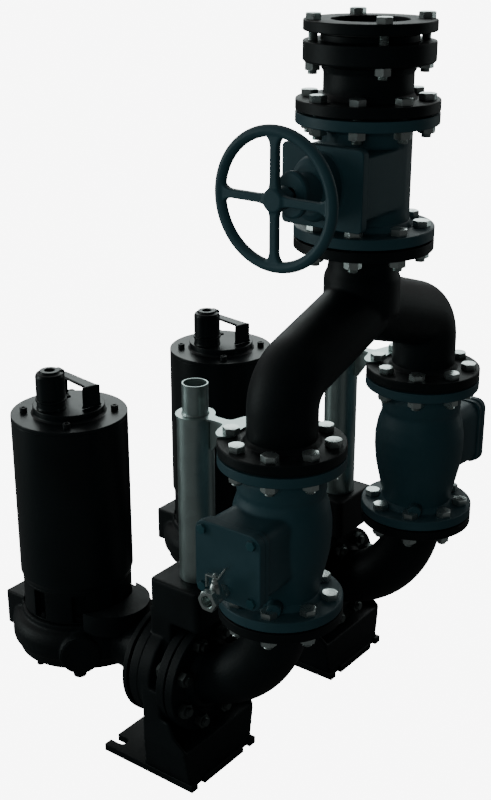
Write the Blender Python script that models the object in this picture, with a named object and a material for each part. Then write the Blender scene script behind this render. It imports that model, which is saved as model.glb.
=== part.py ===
"""Twin-pump sewage pump station.

Two submersible pumps hang on cast feet, each foot carries a bend, a ball check valve and a
guide tube, and a breeches pipe joins both risers under one gate valve with a pipe adapter.
+X runs from the pumps to the risers, +Y from the front unit to the back unit, and z = 0 is
the floor of the pit. The origin is the middle of the object's footprint box.
"""
import math

import bmesh
import bpy
from mathutils import Matrix, Vector

# Standard pipe sizes: DN80 risers, DN100 main.
LEG_FLANGE_R = 0.100
LEG_FLANGE_T = 0.0165
LEG_FACE_R = 0.069
LEG_BORE_R = 0.040
LEG_PIPE_R = 0.050
MAIN_FLANGE_R = 0.110
MAIN_FLANGE_T = 0.0165
MAIN_FACE_R = 0.079
MAIN_BORE_R = 0.050
FACE_RISE = 0.0015
GAP = 0.0003

# Heights of the flange joints on the risers, worked out from the valves' lengths.
BEND_JOINT_Z = 0.374
CHECK_LENGTH = 0.2615
YOKE_JOINT_Z = BEND_JOINT_Z + CHECK_LENGTH
GATE_JOINT_Z = 0.931
GATE_LENGTH = 0.1925
ADAPTER_JOINT_Z = GATE_JOINT_Z + GATE_LENGTH
GATE_Z = (GATE_JOINT_Z + ADAPTER_JOINT_Z) / 2

# Plan: x is counted from the riser axes, y from the middle between the units.
RISER_X = 0.2315
UNIT_Y = 0.2134
PUMP_X = -0.4535
TUBE_X = -0.170

# Foot: base plate, column and the horizontal inlet.
BASE_X0 = -0.3175
BASE_X1 = -0.1155
BASE_HALF = 0.090
BASE_T = 0.014
SLOT_R = 0.009
SLOT_DEPTH = 0.030
SLOT_Y = 0.064
INLET_Z = 0.179
INLET_X = -0.2465
INLET_HEAD_R = 0.0975
INLET_HEAD_T = 0.045
OUTLET_X = -0.1657
WAIST_Z = 0.077
HEAD_X0 = -0.2305
HEAD_X1 = -0.128
HEAD_HALF = 0.055
HEAD_Z0 = 0.290
HEAD_Z1 = 0.364

# Bend between the foot and the check valve.
BEND_R = 0.185
BEND_PIPE_R = 0.050

# Check valve with its ball chamber.
BALL_R = 0.0795
CHAMBER_HALF = 0.060
CHAMBER_Z0 = 0.438
CHAMBER_Z1 = 0.558
CHAMBER_REACH = 0.124
COVER_T = 0.0135
DRAIN_X = -0.0047
DRAIN_Z = 0.4547
DRAIN_STEM = 0.022
DRAIN_LENGTH = 0.0432
DRAIN_HEX_R = 0.0174
DRAIN_BORE_R = 0.0092

# Guide tube, its stub and bracket.
TUBE_R = 0.03015
TUBE_WALL = 0.0032
STUB_R = 0.0212
STUB_TOP = 0.709
ARM_T = 0.0032

# Pump, from the bottom up.
VOLUTE_R = 0.122
VOLUTE_Z0 = 0.141
VOLUTE_Z1 = 0.222
SHOULDER_Z = 0.2105
RIM_R = 0.103
SUCTION_R = 0.036
LUG_HALF = 0.0695
LUG_REACH = 0.1195
LUG_Z0 = 0.162
LUG_Z1 = 0.230
BOSS_WAY = Vector((math.cos(math.radians(-46)), math.sin(math.radians(-46)), 0))
BOSS_R = 0.0365
BOSS_Z = 0.1765
BOSS_REACH = 0.1255
CLAW_X = -0.3725
CLAW_R = 0.070
CLAW_Z1 = 0.250
CHAMBER_R = 0.098
CHAMBER_TOP = 0.284
MOTOR_R = 0.1013
MOTOR_TOP = 0.586
COVER_TOP = 0.5927
LID_BOSS_R = 0.0625
LID_BOSS_TOP = 0.607
ENTRY_X = -0.0093
ENTRY_Y = -0.0323
ENTRY_TOP = 0.675
HANDLE_Z = 0.646
HANDLE_T = 0.005
HANDLE_NEAR = ((0.0425, -0.0070), (0.0520, 0.0255), (0.0460, 0.0270), (0.0385, -0.0060))
HANDLE_FAR = ((-0.0400, 0.0178), (-0.0370, 0.0374), (-0.0427, 0.0384), (-0.0457, 0.0190))

# Breeches pipe.
YOKE_PIPE_R = 0.0553
YOKE_BORE_R = 0.044
YOKE_STRAIGHT_Z = 0.710
YOKE_TURN_R = 0.060
YOKE_TILT = math.radians(72)
YOKE_NECK_R = 0.0535

# Gate valve, stem and handwheel.
GATE_BODY_R = 0.070
DOME_TALL = 1.3
BONNET_HALF = 0.0715
BONNET_HALF_Z = 0.061
BONNET_FACE_Y = -0.122
BONNET_T = 0.015
STEM_R = 0.008
WHEEL_Y = -0.238
WHEEL_R = 0.0965
WHEEL_RIM_R = 0.0085
HUB_SKIN = 0.002

# Pipe adapter on top.
ADAPTER_NECK_R = 0.0685
SOCKET_R = 0.100
SOCKET_TOP = 1.226
NOSE_R = 0.074
RING_Z0 = 1.240
RING_Z1 = 1.256
RING_BORE_R = 0.059

FINE = 20
COARSE = 12

for old in list(bpy.data.objects):
    bpy.data.objects.remove(old, do_unlink=True)


def paint(name, colour, roughness, metallic=0.0):
    """A plain material of one colour."""
    material = bpy.data.materials.new(name)
    material.use_nodes = True
    shader = material.node_tree.nodes["Principled BSDF"]
    shader.inputs["Base Color"].default_value = (*colour, 1.0)
    shader.inputs["Roughness"].default_value = roughness
    shader.inputs["Metallic"].default_value = metallic
    return material


BLACK = paint("black_coat", (0.012, 0.014, 0.016), 0.42)
BLUE = paint("blue_grey_coat", (0.060, 0.110, 0.135), 0.45)
ZINC = paint("galvanised", (0.46, 0.48, 0.48), 0.40, 0.9)
STEEL = paint("bright_steel", (0.55, 0.56, 0.56), 0.30, 1.0)


def finished(shape):
    """A mesh of a closed bmesh, with its faces pointing out."""
    bmesh.ops.recalc_face_normals(shape, faces=shape.faces[:])
    mesh = bpy.data.meshes.new("shape")
    shape.to_mesh(mesh)
    shape.free()
    return mesh


def turned(profile, centre=(0, 0, 0), axis="Z", steps=FINE):
    """Turns a closed outline of (radius, height) points about an axis through centre."""
    shape = bmesh.new()
    rings = []
    for radius, height in profile:
        if radius < 1e-9:
            rings.append([shape.verts.new((0, 0, height))])
            continue
        ring = []
        for step in range(steps):
            angle = 2 * math.pi * (step + 0.5) / steps
            ring.append(shape.verts.new((radius * math.cos(angle), radius * math.sin(angle), height)))
        rings.append(ring)
    for here, after in zip(rings, rings[1:] + rings[:1]):
        for step in range(steps):
            onward = (step + 1) % steps
            corners = [here[step % len(here)], here[onward % len(here)],
                       after[onward % len(after)], after[step % len(after)]]
            corners = list(dict.fromkeys(corners))
            if len(corners) > 2:
                shape.faces.new(corners)
    turn = {"Z": Matrix.Identity(4), "X": Matrix.Rotation(math.pi / 2, 4, "Y"),
            "Y": Matrix.Rotation(-math.pi / 2, 4, "X")}[axis]
    bmesh.ops.transform(shape, matrix=Matrix.Translation(centre) @ turn, verts=shape.verts[:])
    return finished(shape)


def rod(start, end, radius, end_radius=None, steps=COARSE):
    """A round bar or cone from one point to another."""
    start = Vector(start)
    way = Vector(end) - start
    shape = bmesh.new()
    bmesh.ops.create_cone(shape, cap_ends=True, segments=steps, radius1=radius,
                          radius2=radius if end_radius is None else end_radius, depth=way.length)
    place = Matrix.Translation(start + way / 2) @ way.to_track_quat("Z", "Y").to_matrix().to_4x4()
    bmesh.ops.transform(shape, matrix=place, verts=shape.verts[:])
    return finished(shape)


def hull(points):
    """The convex solid around some points."""
    shape = bmesh.new()
    for point in points:
        shape.verts.new(point)
    bmesh.ops.convex_hull(shape, input=shape.verts[:])
    loose = [vert for vert in shape.verts if not vert.link_faces]
    bmesh.ops.delete(shape, geom=loose, context="VERTS")
    bmesh.ops.dissolve_limit(shape, angle_limit=0.002, verts=shape.verts[:], edges=shape.edges[:])
    return finished(shape)


def block(x0, x1, y0, y1, z0, z1):
    return hull([(x, y, z) for x in (x0, x1) for y in (y0, y1) for z in (z0, z1)])


def extruded(outline, along, low, high):
    """Extrudes a flat outline along one axis; its points hold the other two coordinates in order."""
    place = {"X": lambda a, b, h: (h, a, b), "Y": lambda a, b, h: (a, h, b), "Z": lambda a, b, h: (a, b, h)}
    shape = bmesh.new()
    lower = [shape.verts.new(place[along](a, b, low)) for a, b in outline]
    upper = [shape.verts.new(place[along](a, b, high)) for a, b in outline]
    shape.faces.new(lower)
    shape.faces.new(upper)
    for index in range(len(outline)):
        onward = (index + 1) % len(outline)
        shape.faces.new((lower[index], lower[onward], upper[onward], upper[index]))
    return finished(shape)


def rounded(half_a, half_b, radius, centre=(0, 0), steps=6):
    """The outline of a rectangle with round corners."""
    points = []
    for turn, (side_a, side_b) in enumerate(((1, 1), (-1, 1), (-1, -1), (1, -1))):
        for step in range(steps + 1):
            angle = math.pi / 2 * (turn + step / steps)
            points.append((centre[0] + side_a * (half_a - radius) + radius * math.cos(angle),
                           centre[1] + side_b * (half_b - radius) + radius * math.sin(angle)))
    return points


def swept(path, radius, across, steps=COARSE):
    """A round bar along a flat path; across is the direction square to the path's plane."""
    shape = bmesh.new()
    across = Vector(across).normalized()
    path = [Vector(point) for point in path]
    rings = []
    for index, point in enumerate(path):
        before = path[max(index - 1, 0)]
        after = path[min(index + 1, len(path) - 1)]
        outward = (after - before).normalized().cross(across)
        ring = []
        for step in range(steps):
            angle = 2 * math.pi * (step + 0.5) / steps
            ring.append(shape.verts.new(point + radius * (math.cos(angle) * outward + math.sin(angle) * across)))
        rings.append(ring)
    for here, after in zip(rings, rings[1:]):
        for step in range(steps):
            onward = (step + 1) % steps
            shape.faces.new((here[step], here[onward], after[onward], after[step]))
    shape.faces.new(rings[0])
    shape.faces.new(rings[-1])
    return finished(shape)


def combined(base, others, operation):
    """Joins meshes to a base mesh, or cuts them out of it, with exact Booleans."""
    body = bpy.data.objects.new("body", base)
    bpy.context.collection.objects.link(body)
    tools = []
    for mesh in others:
        tool = bpy.data.objects.new("tool", mesh)
        bpy.context.collection.objects.link(tool)
        change = body.modifiers.new("change", "BOOLEAN")
        change.operation = operation
        change.solver = "EXACT"
        change.object = tool
        tools.append(tool)
    graph = bpy.context.evaluated_depsgraph_get()
    mesh = bpy.data.meshes.new_from_object(body.evaluated_get(graph))
    for used in [body] + tools:
        bpy.data.objects.remove(used, do_unlink=True)
    return mesh


def union(base, *others):
    return combined(base, others, "UNION")


def cut(base, *others):
    return combined(base, others, "DIFFERENCE")


def piece(name, mesh, material, pivot=(0, 0, 0)):
    """A named piece; a moving one has its origin on its joint's axis."""
    pivot = Vector(pivot)
    mesh.transform(Matrix.Translation(-pivot))
    mesh.materials.clear()
    mesh.materials.append(material)
    mesh.shade_smooth()
    mesh.set_sharp_from_angle(angle=math.radians(32))
    made = bpy.data.objects.new(name, mesh)
    made.location = pivot + Vector((RISER_X, 0, 0))
    bpy.context.collection.objects.link(made)
    return made


def within(radius, steps=FINE):
    """Distance from the axis to the flats of a round hole made of straight facets."""
    return radius * math.cos(math.pi / steps)


def flange_profile(joint, inward, radius, thickness, face_radius, hub):
    """Outline of a solid flange; its raised face stops half a gap short of the joint plane."""
    face = joint + inward * GAP / 2
    rim = face + inward * FACE_RISE
    back = rim + inward * thickness
    return [(0, face), (face_radius, face), (face_radius, rim), (radius, rim), (radius, back), (hub, back)]


def slot_cutter(x_edge, inward, y):
    """A cutter for one open-ended slot in the base plate's edge."""
    points = [(x_edge - inward * 0.01, y - SLOT_R)]
    for step in range(9):
        angle = -math.pi / 2 + math.pi * step / 8
        points.append((x_edge + inward * (SLOT_DEPTH - SLOT_R + SLOT_R * math.cos(angle)),
                       y + SLOT_R * math.sin(angle)))
    points.append((x_edge - inward * 0.01, y + SLOT_R))
    return extruded(points, "Z", -0.01, BASE_T + 0.01)


def foot(name, y):
    """Base plate, flared body, column with the tube's seat, and the passage between two flanges."""
    plate = block(BASE_X0, BASE_X1, y - BASE_HALF, y + BASE_HALF, 0, BASE_T)
    flare = hull([(x, y + side * half, z) for side in (-1, 1)
                  for z, half, x in ((0.010, 0.0855, -0.2240), (0.010, 0.0855, -0.1235),
                                     (WAIST_Z, INLET_HEAD_R, -0.2170), (WAIST_Z, INLET_HEAD_R, -0.1250))])
    waist = block(-0.2165, OUTLET_X - 0.012, y - INLET_HEAD_R, y + INLET_HEAD_R, WAIST_Z - 0.006, INLET_Z)
    cheek_line = [(-0.180, WAIST_Z - 0.006), (-0.1256, WAIST_Z - 0.006), (-0.1256, WAIST_Z + 0.003),
                  (-0.149, 0.098), (-0.160, 0.126), (-0.180, 0.128)]
    cheeks = [extruded(cheek_line, "Y", *sorted((y + side * 0.0905, y + side * (INLET_HEAD_R - 0.0004))))
              for side in (-1, 1)]
    column = block(HEAD_X0, -0.186, y - HEAD_HALF, y + HEAD_HALF, INLET_Z, HEAD_Z0 + 0.02)
    head = extruded(rounded((HEAD_X1 - HEAD_X0) / 2, HEAD_HALF, 0.008,
                            ((HEAD_X0 + HEAD_X1) / 2, y), 3), "Z", HEAD_Z0, HEAD_Z1)
    spigot = rod((TUBE_X, y, HEAD_Z1 - 0.01), (TUBE_X, y, HEAD_Z1 + 0.025), within(TUBE_R - TUBE_WALL) - GAP)
    profile = [(0, INLET_X), (INLET_HEAD_R, INLET_X), (INLET_HEAD_R, INLET_X + INLET_HEAD_T),
               (0.070, INLET_X + INLET_HEAD_T + 0.004), (0.070, OUTLET_X - 0.019)]
    profile += list(reversed(flange_profile(OUTLET_X, -1, LEG_FLANGE_R, LEG_FLANGE_T, LEG_FACE_R, 0.070)))
    passage = turned(profile, (0, y, INLET_Z), "X")
    whole = union(plate, flare, waist, *cheeks, column, head, spigot, passage)
    slots = [slot_cutter(edge, inward, y + side * SLOT_Y)
             for edge, inward in ((BASE_X0, 1), (BASE_X1, -1)) for side in (-1, 1)]
    bore = rod((INLET_X - 0.01, y, INLET_Z), (OUTLET_X + 0.01, y, INLET_Z), LEG_BORE_R)
    return piece(name, cut(whole, bore, *slots), BLACK)


def bend(name, y):
    """Long-radius bend with a flange at each end."""
    def arc(radius, extra):
        centre_z = INLET_Z + BEND_R
        points = [(0, y, BEND_JOINT_Z + extra - 0.006)]
        for step in range(7):
            angle = math.radians(76) * step / 6
            points.append((-BEND_R + BEND_R * math.cos(angle), y, centre_z - BEND_R * math.sin(angle)))
        points.append((OUTLET_X + 0.020, y, INLET_Z + 0.001))
        points.append((OUTLET_X + 0.006 - extra, y, INLET_Z + 0.001))
        return swept(points, radius, (0, 1, 0), FINE if radius > LEG_BORE_R else COARSE)

    top = turned(flange_profile(BEND_JOINT_Z, -1, LEG_FLANGE_R, LEG_FLANGE_T, LEG_FACE_R, 0.066)
                 + [(0.054, BEND_JOINT_Z - 0.034), (0.045, BEND_JOINT_Z - 0.036), (0, BEND_JOINT_Z - 0.036)],
                 (0, y, 0))
    side = turned(flange_profile(OUTLET_X, 1, LEG_FLANGE_R, LEG_FLANGE_T, LEG_FACE_R, 0.060)
                  + [(0.045, OUTLET_X + 0.027), (0, OUTLET_X + 0.027)], (0, y, INLET_Z), "X")
    whole = cut(union(arc(BEND_PIPE_R, 0), top, side), arc(LEG_BORE_R, 0.02))
    return piece(name, whole, BLACK)


def check_valve(name, y, side):
    """Barrel body with a ball chamber on its outer side."""
    low, high = BEND_JOINT_Z, YOKE_JOINT_Z
    outline = flange_profile(low, 1, LEG_FLANGE_R, LEG_FLANGE_T, LEG_FACE_R, 0.066)
    outline += [(0.062, low + 0.023), (0.064, low + 0.040), (0.070, 0.440), (0.0765, 0.470), (BALL_R, 0.500),
                (BALL_R, 0.524), (0.0755, 0.548), (0.0690, 0.568), (0.0665, 0.590)]
    outline += list(reversed(flange_profile(high, -1, LEG_FLANGE_R, LEG_FLANGE_T, LEG_FACE_R, 0.070)))
    body = turned(outline, (0, y, 0))
    middle = (CHAMBER_Z0 + CHAMBER_Z1) / 2
    half = (CHAMBER_Z1 - CHAMBER_Z0) / 2
    reach = y + side * CHAMBER_REACH
    near = rounded(CHAMBER_HALF, half, 0.020, (0, middle), 4)
    deep = rounded(CHAMBER_HALF - 0.004, half - 0.004, 0.020, (0, middle + 0.004), 4)
    chamber = hull([(a, reach, b) for a, b in near] + [(a, y, b) for a, b in deep])
    bore = turned([(0, low - 0.02), (LEG_BORE_R, low - 0.02), (LEG_BORE_R, 0.430), (0.058, 0.462), (0.062, 0.500),
                   (0.062, 0.530), (0.052, 0.575), (LEG_BORE_R, 0.590), (LEG_BORE_R, high + 0.02),
                   (0, high + 0.02)], (0, y, 0), steps=COARSE)
    return piece(name, cut(union(body, chamber), bore), BLUE)


def check_cover(name, y, side):
    near = y + side * (CHAMBER_REACH + GAP)
    far = near + side * COVER_T
    middle = (CHAMBER_Z0 + CHAMBER_Z1) / 2
    half = (CHAMBER_Z1 - CHAMBER_Z0) / 2 + 0.002
    plate = extruded(rounded(CHAMBER_HALF + 0.001, half, 0.018, (0, middle), 5), "Y", near, far)
    return piece(name, plate, BLUE)


def drain_cock(name, y, side):
    """Small ball valve on the cover, with a hexagonal outlet and a bell-shaped stem housing."""
    start = y + side * (CHAMBER_REACH + COVER_T + 2 * GAP)
    stem_y = start + side * DRAIN_STEM
    tail = rod((DRAIN_X, start, DRAIN_Z), (DRAIN_X, start + side * 0.012, DRAIN_Z), 0.0100)
    body = rod((DRAIN_X, start + side * 0.009, DRAIN_Z), (DRAIN_X, start + side * 0.037, DRAIN_Z), 0.0118)
    corners = [(DRAIN_X + DRAIN_HEX_R * math.cos(math.radians(60 * k)),
                DRAIN_Z + DRAIN_HEX_R * math.sin(math.radians(60 * k))) for k in range(6)]
    nut = extruded(corners, "Y", start + side * 0.032, start + side * DRAIN_LENGTH)
    bell = turned([(0, DRAIN_Z), (0.0095, DRAIN_Z), (0.0095, DRAIN_Z + 0.0165), (0.0060, DRAIN_Z + 0.0225),
                   (0.0046, DRAIN_Z + 0.0310), (0, DRAIN_Z + 0.0310)], (DRAIN_X, stem_y, 0), steps=COARSE)
    bore = rod((DRAIN_X, start + side * 0.030, DRAIN_Z), (DRAIN_X, start + side * 0.06, DRAIN_Z), DRAIN_BORE_R)
    return piece(name, cut(union(body, tail, nut, bell), bore), ZINC)


def drain_lever(name, y, side):
    """Flat lever on the stem's end, bent up at its grip and with a tab turned down."""
    middle = y + side * (CHAMBER_REACH + COVER_T + 2 * GAP + DRAIN_STEM)
    base = DRAIN_Z + 0.0310 + GAP
    cap = turned([(0, base), (0.0052, base), (0.0052, base + 0.0050), (0.0035, base + 0.0075), (0, base + 0.0075)],
                 (DRAIN_X, middle, 0), steps=8)
    outline = [(-0.0166, base - 0.0190), (-0.0142, base - 0.0190), (-0.0142, base), (0.0075, base),
               (0.0218, base + 0.0218), (0.0198, base + 0.0236), (0.0062, base + 0.0024), (-0.0166, base + 0.0024)]
    bar = extruded([(DRAIN_X + a, b) for a, b in outline], "Y", middle - 0.0035, middle + 0.0035)
    return piece(name, union(bar, cap), ZINC, (DRAIN_X, middle, base))


def guide_tube(name, y):
    top = YOKE_JOINT_Z + 0.0155 + 0.0025 - GAP
    inner = TUBE_R - TUBE_WALL
    tube = turned([(inner, HEAD_Z1 + GAP), (TUBE_R, HEAD_Z1 + GAP), (TUBE_R, top), (inner, top)], (TUBE_X, y, 0))
    return piece(name, tube, ZINC)


def guide_bracket(name, y):
    """Arm from the riser's flange bolts to the top of the guide tube, with a plug in the tube."""
    low = YOKE_JOINT_Z + GAP / 2 + FACE_RISE + LEG_FLANGE_T + GAP
    high = low + ARM_T
    fork = [(-0.0710, 0.0130), (-0.0655, 0.0300), (-0.0655, 0.0375), (-0.0735, 0.0485), (-0.0845, 0.0525),
            (-0.0960, 0.0417), (-0.0996, 0.0324), (-0.1035, 0.0190), (-0.1070, 0.0105), (-0.1300, 0.0085)]
    outline = [(-0.0722, 0.0)] + [(a, -b) for a, b in fork]
    for step in range(15):
        angle = math.radians(-20 - 320 * step / 14)
        outline.append((TUBE_X + 0.0322 * math.cos(angle), 0.0322 * math.sin(angle)))
    outline += reversed(fork)
    arm = extruded([(a, y + b) for a, b in outline], "Z", low, high)
    plug = rod((TUBE_X, y, low - 0.030), (TUBE_X, y, low + 0.002), within(TUBE_R - TUBE_WALL) - GAP)
    rib = extruded([(-0.1385, low - 0.052), (-0.134, low - 0.052), (-0.1035, low - 0.006), (-0.1035, low + 0.002),
                    (-0.1385, low + 0.002)], "Y", y - 0.003, y + 0.003)
    bolt = rod((-0.08 * math.cos(math.pi / 8), y, low - 0.05), (-0.08 * math.cos(math.pi / 8), y, high + 0.05), 0.0086)
    holes = []
    for way in (-1, 1):
        hole = bolt.copy()
        hole.transform(Matrix.Translation((0, way * 0.08 * math.sin(math.pi / 8), 0)))
        holes.append(hole)
    whole = cut(union(arm, plug, rib), *holes)
    whole = cut(whole, rod((TUBE_X, y, low - 0.05), (TUBE_X, y, high + 0.05), 0.0150))
    return piece(name, whole, ZINC)


def guide_stub(name, y):
    low = YOKE_JOINT_Z + GAP / 2 + FACE_RISE + LEG_FLANGE_T + GAP + ARM_T + GAP
    stub = turned([(0.0183, low), (0.0228, low), (STUB_R, low + 0.0025), (STUB_R, STUB_TOP), (0.0183, STUB_TOP)],
                  (TUBE_X, y, 0), steps=COARSE)
    return piece(name, stub, ZINC)


def volute(name, y):
    """Spiral casing with the discharge neck, a flat-ended lug and a round side boss."""
    steps = 28
    profile = [(-0.100, 0.149), (-0.100, VOLUTE_Z0 + 0.006), (-0.022, VOLUTE_Z0 + 0.006), (-0.022, VOLUTE_Z0),
               (-0.012, VOLUTE_Z0), (-0.0105, VOLUTE_Z0 + 0.002), (-0.0105, 0.153), (-0.007, 0.158), (-0.0015, 0.163),
               (0.0, 0.169), (0.0, 0.190), (-0.003, 0.199), (-0.009, 0.2065), (-0.017, SHOULDER_Z),
               (RIM_R - VOLUTE_R, SHOULDER_Z), (RIM_R - VOLUTE_R, VOLUTE_Z1), (-0.100, VOLUTE_Z1)]
    shape = bmesh.new()
    rings = []
    for offset, height in profile:
        ring = []
        for step in range(steps):
            angle = 2 * math.pi * step / steps
            swell = 0.020 * max(0.0, math.cos(angle - math.radians(25))) ** 2
            radius = VOLUTE_R + swell + offset if offset > -0.0185 else VOLUTE_R + offset
            ring.append(shape.verts.new((PUMP_X + radius * math.cos(angle), y + radius * math.sin(angle), height)))
        rings.append(ring)
    for here, after in zip(rings, rings[1:]):
        for step in range(steps):
            onward = (step + 1) % steps
            shape.faces.new((here[step], here[onward], after[onward], after[step]))
    shape.faces.new(rings[0])
    shape.faces.new(rings[-1])
    bowl = finished(shape)
    lug = extruded(rounded(LUG_REACH / 2, LUG_HALF, 0.003, (PUMP_X - LUG_REACH / 2, y), 2), "Z", LUG_Z0, LUG_Z1)
    flange = INLET_X - FACE_RISE - GAP
    neck = turned([(0, PUMP_X + 0.03), (0.040, PUMP_X + 0.03), (0.044, PUMP_X + 0.09), (0.052, flange - 0.030),
                   (0.062, flange - 0.0120), (LEG_FLANGE_R, flange - 0.0115), (LEG_FLANGE_R, flange), (0.069, flange),
                   (0.069, flange + 0.0015), (0, flange + 0.0015)], (0, y, INLET_Z), "X")
    centre = Vector((PUMP_X, y, BOSS_Z))
    boss = rod(centre + BOSS_WAY * 0.085, centre + BOSS_WAY * BOSS_REACH, BOSS_R, steps=FINE)
    room = (CHAMBER_R + 2 * GAP) / math.cos(math.pi / steps)
    trim = rod((PUMP_X, y, VOLUTE_Z1), (PUMP_X, y, LUG_Z1 + 0.05), room, steps=steps)
    below = rod((PUMP_X, y, VOLUTE_Z0 - 0.05), (PUMP_X, y, VOLUTE_Z0 + 0.006), room, steps=steps)
    whole = cut(union(bowl, lug, neck, boss), trim, below)
    way_out = rod((PUMP_X + 0.06, y, INLET_Z), (flange + 0.02, y, INLET_Z), 0.034)
    return piece(name, cut(whole, way_out), BLACK)


def pump_claw(name, y):
    """Rounded guide claw that stands on the casing beside the oil chamber."""
    claw = rod((CLAW_X, y, SHOULDER_Z + GAP), (CLAW_X, y, CLAW_Z1), CLAW_R, steps=FINE)
    room = rod((PUMP_X, y, SHOULDER_Z - 0.05), (PUMP_X, y, CLAW_Z1 + 0.05), RIM_R + 0.0015, steps=28)
    neck = rod((PUMP_X, y, INLET_Z), (INLET_X, y, INLET_Z), 0.0535, steps=FINE)
    boss = rod((PUMP_X, y, BOSS_Z), Vector((PUMP_X, y, BOSS_Z)) + BOSS_WAY * 0.2, BOSS_R + 0.002, steps=FINE)
    return piece(name, cut(claw, room, neck, boss), BLACK)


def suction_plate(name, y):
    top = VOLUTE_Z0 + 0.006 - GAP
    plate = turned([(SUCTION_R, top), (SUCTION_R, 0.1335), (SUCTION_R + 0.004, 0.1320), (0.094, 0.1320),
                    (0.0985, 0.1365), (0.0985, top)], (PUMP_X, y, 0))
    way = math.radians(-48)
    stub_x, stub_y = PUMP_X + 0.085 * math.cos(way), y + 0.085 * math.sin(way)
    stub = rod((stub_x, stub_y, 0.138), (stub_x, stub_y, 0.113), 0.0125)
    return piece(name, union(plate, stub), BLACK)


def oil_chamber(name, y):
    """Ring between casing and motor, with eight windows around it."""
    ring = turned([(0, VOLUTE_Z1 + GAP), (CHAMBER_R - 0.002, VOLUTE_Z1 + GAP), (CHAMBER_R, VOLUTE_Z1 + 0.004),
                   (CHAMBER_R, CHAMBER_TOP), (0, CHAMBER_TOP)], (PUMP_X, y, 0), steps=28)
    windows = []
    for index in range(8):
        window = block(CHAMBER_R - 0.016, CHAMBER_R + 0.02, -0.0125, 0.0125, VOLUTE_Z1 + 0.005, CHAMBER_TOP - 0.004)
        window.transform(Matrix.Translation((PUMP_X, y, 0)) @ Matrix.Rotation(math.pi / 4 * index, 4, "Z"))
        windows.append(window)
    return piece(name, cut(ring, *windows), BLACK)


def motor_housing(name, y):
    inner = 0.074
    shell = turned([(inner, CHAMBER_TOP + GAP), (CHAMBER_R, CHAMBER_TOP + GAP), (MOTOR_R, CHAMBER_TOP + 0.012),
                    (MOTOR_R, MOTOR_TOP), (inner, MOTOR_TOP)], (PUMP_X, y, 0), steps=28)
    return piece(name, shell, BLACK)


def motor_cover(name, y):
    outline = [(0, MOTOR_TOP + GAP), (MOTOR_R, MOTOR_TOP + GAP), (MOTOR_R, COVER_TOP - 0.0012),
               (MOTOR_R - 0.0012, COVER_TOP), (LID_BOSS_R + 0.003, COVER_TOP), (LID_BOSS_R, COVER_TOP + 0.003),
               (LID_BOSS_R, LID_BOSS_TOP - 0.0015), (LID_BOSS_R - 0.0015, LID_BOSS_TOP), (0, LID_BOSS_TOP)]
    return piece(name, turned(outline, (PUMP_X, y, 0), steps=28), BLACK)


def cable_entry(name, y):
    base = LID_BOSS_TOP + GAP
    tower = turned([(0, base), (0.0252, base), (0.0252, 0.6200), (0.0266, 0.6205), (0.0266, 0.6245), (0.0252, 0.6250),
                    (0.0252, 0.6655), (0.0235, 0.6690), (0.0190, 0.6715), (0.0175, 0.6725), (0.0172, ENTRY_TOP - 0.001),
                    (0.0162, ENTRY_TOP), (0.0085, ENTRY_TOP), (0.0085, ENTRY_TOP - 0.020), (0, ENTRY_TOP - 0.020)],
                   (PUMP_X + ENTRY_X, y + ENTRY_Y, 0), steps=COARSE)
    return piece(name, tower, BLACK)


def lifting_handle(name, y):
    """Bent flat strap, a little askew, between two upright end plates."""
    base = LID_BOSS_TOP + GAP
    low = HANDLE_Z - HANDLE_T

    def placed(outline):
        return [(PUMP_X + a, y + b) for a, b in outline]

    legs = [extruded(placed(leg), "Z", base, low + 0.001) for leg in (HANDLE_NEAR, HANDLE_FAR)]
    strap = [HANDLE_FAR[3], (0.0400, 0.0003), HANDLE_NEAR[0], HANDLE_NEAR[1], (0.0470, 0.0235), HANDLE_FAR[2]]
    return piece(name, union(extruded(placed(strap), "Z", low, HANDLE_Z), *legs), BLACK)


def yoke(name):
    """Breeches pipe: two legs that turn in and join below one neck."""
    def leg(side, radius, extra, steps):
        points = [(0, side * UNIT_Y, YOKE_JOINT_Z + 0.004 - extra)]
        for step in range(5):
            angle = YOKE_TILT * step / 4
            points.append((0, side * (UNIT_Y - YOKE_TURN_R * (1 - math.cos(angle))),
                           YOKE_STRAIGHT_Z - 0.006 + YOKE_TURN_R * math.sin(angle)))
        last = Vector(points[-1])
        run = (abs(last.y) + 0.012) / math.sin(YOKE_TILT)
        points.append(tuple(last + run * Vector((0, -side * math.sin(YOKE_TILT), math.cos(YOKE_TILT)))))
        return swept(points, radius, (1, 0, 0), steps)

    heart_z = YOKE_STRAIGHT_Z + 0.107
    low = GATE_JOINT_Z
    neck = turned(flange_profile(low, -1, MAIN_FLANGE_R, MAIN_FLANGE_T, MAIN_FACE_R, YOKE_NECK_R + 0.003)
                  + [(YOKE_NECK_R, low - 0.032), (YOKE_NECK_R + 0.0015, low - 0.052),
                     (YOKE_NECK_R + 0.0075, low - 0.066), (YOKE_NECK_R + 0.0075, heart_z - 0.010), (0, heart_z - 0.010)])
    feet = [turned(flange_profile(YOKE_JOINT_Z, 1, LEG_FLANGE_R, LEG_FLANGE_T, LEG_FACE_R, YOKE_PIPE_R + 0.004)
                   + [(YOKE_PIPE_R - 0.002, YOKE_JOINT_Z + 0.026), (0, YOKE_JOINT_Z + 0.026)],
                   (0, side * UNIT_Y, 0)) for side in (-1, 1)]
    outside = union(leg(-1, YOKE_PIPE_R, 0, FINE), leg(1, YOKE_PIPE_R, 0, FINE), neck, *feet)
    inside = union(leg(-1, YOKE_BORE_R, 0.02, COARSE), leg(1, YOKE_BORE_R, 0.02, COARSE),
                   rod((0, 0, heart_z - 0.005), (0, 0, low + 0.02), YOKE_BORE_R + 0.002))
    return piece(name, cut(outside, inside), BLACK)


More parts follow.
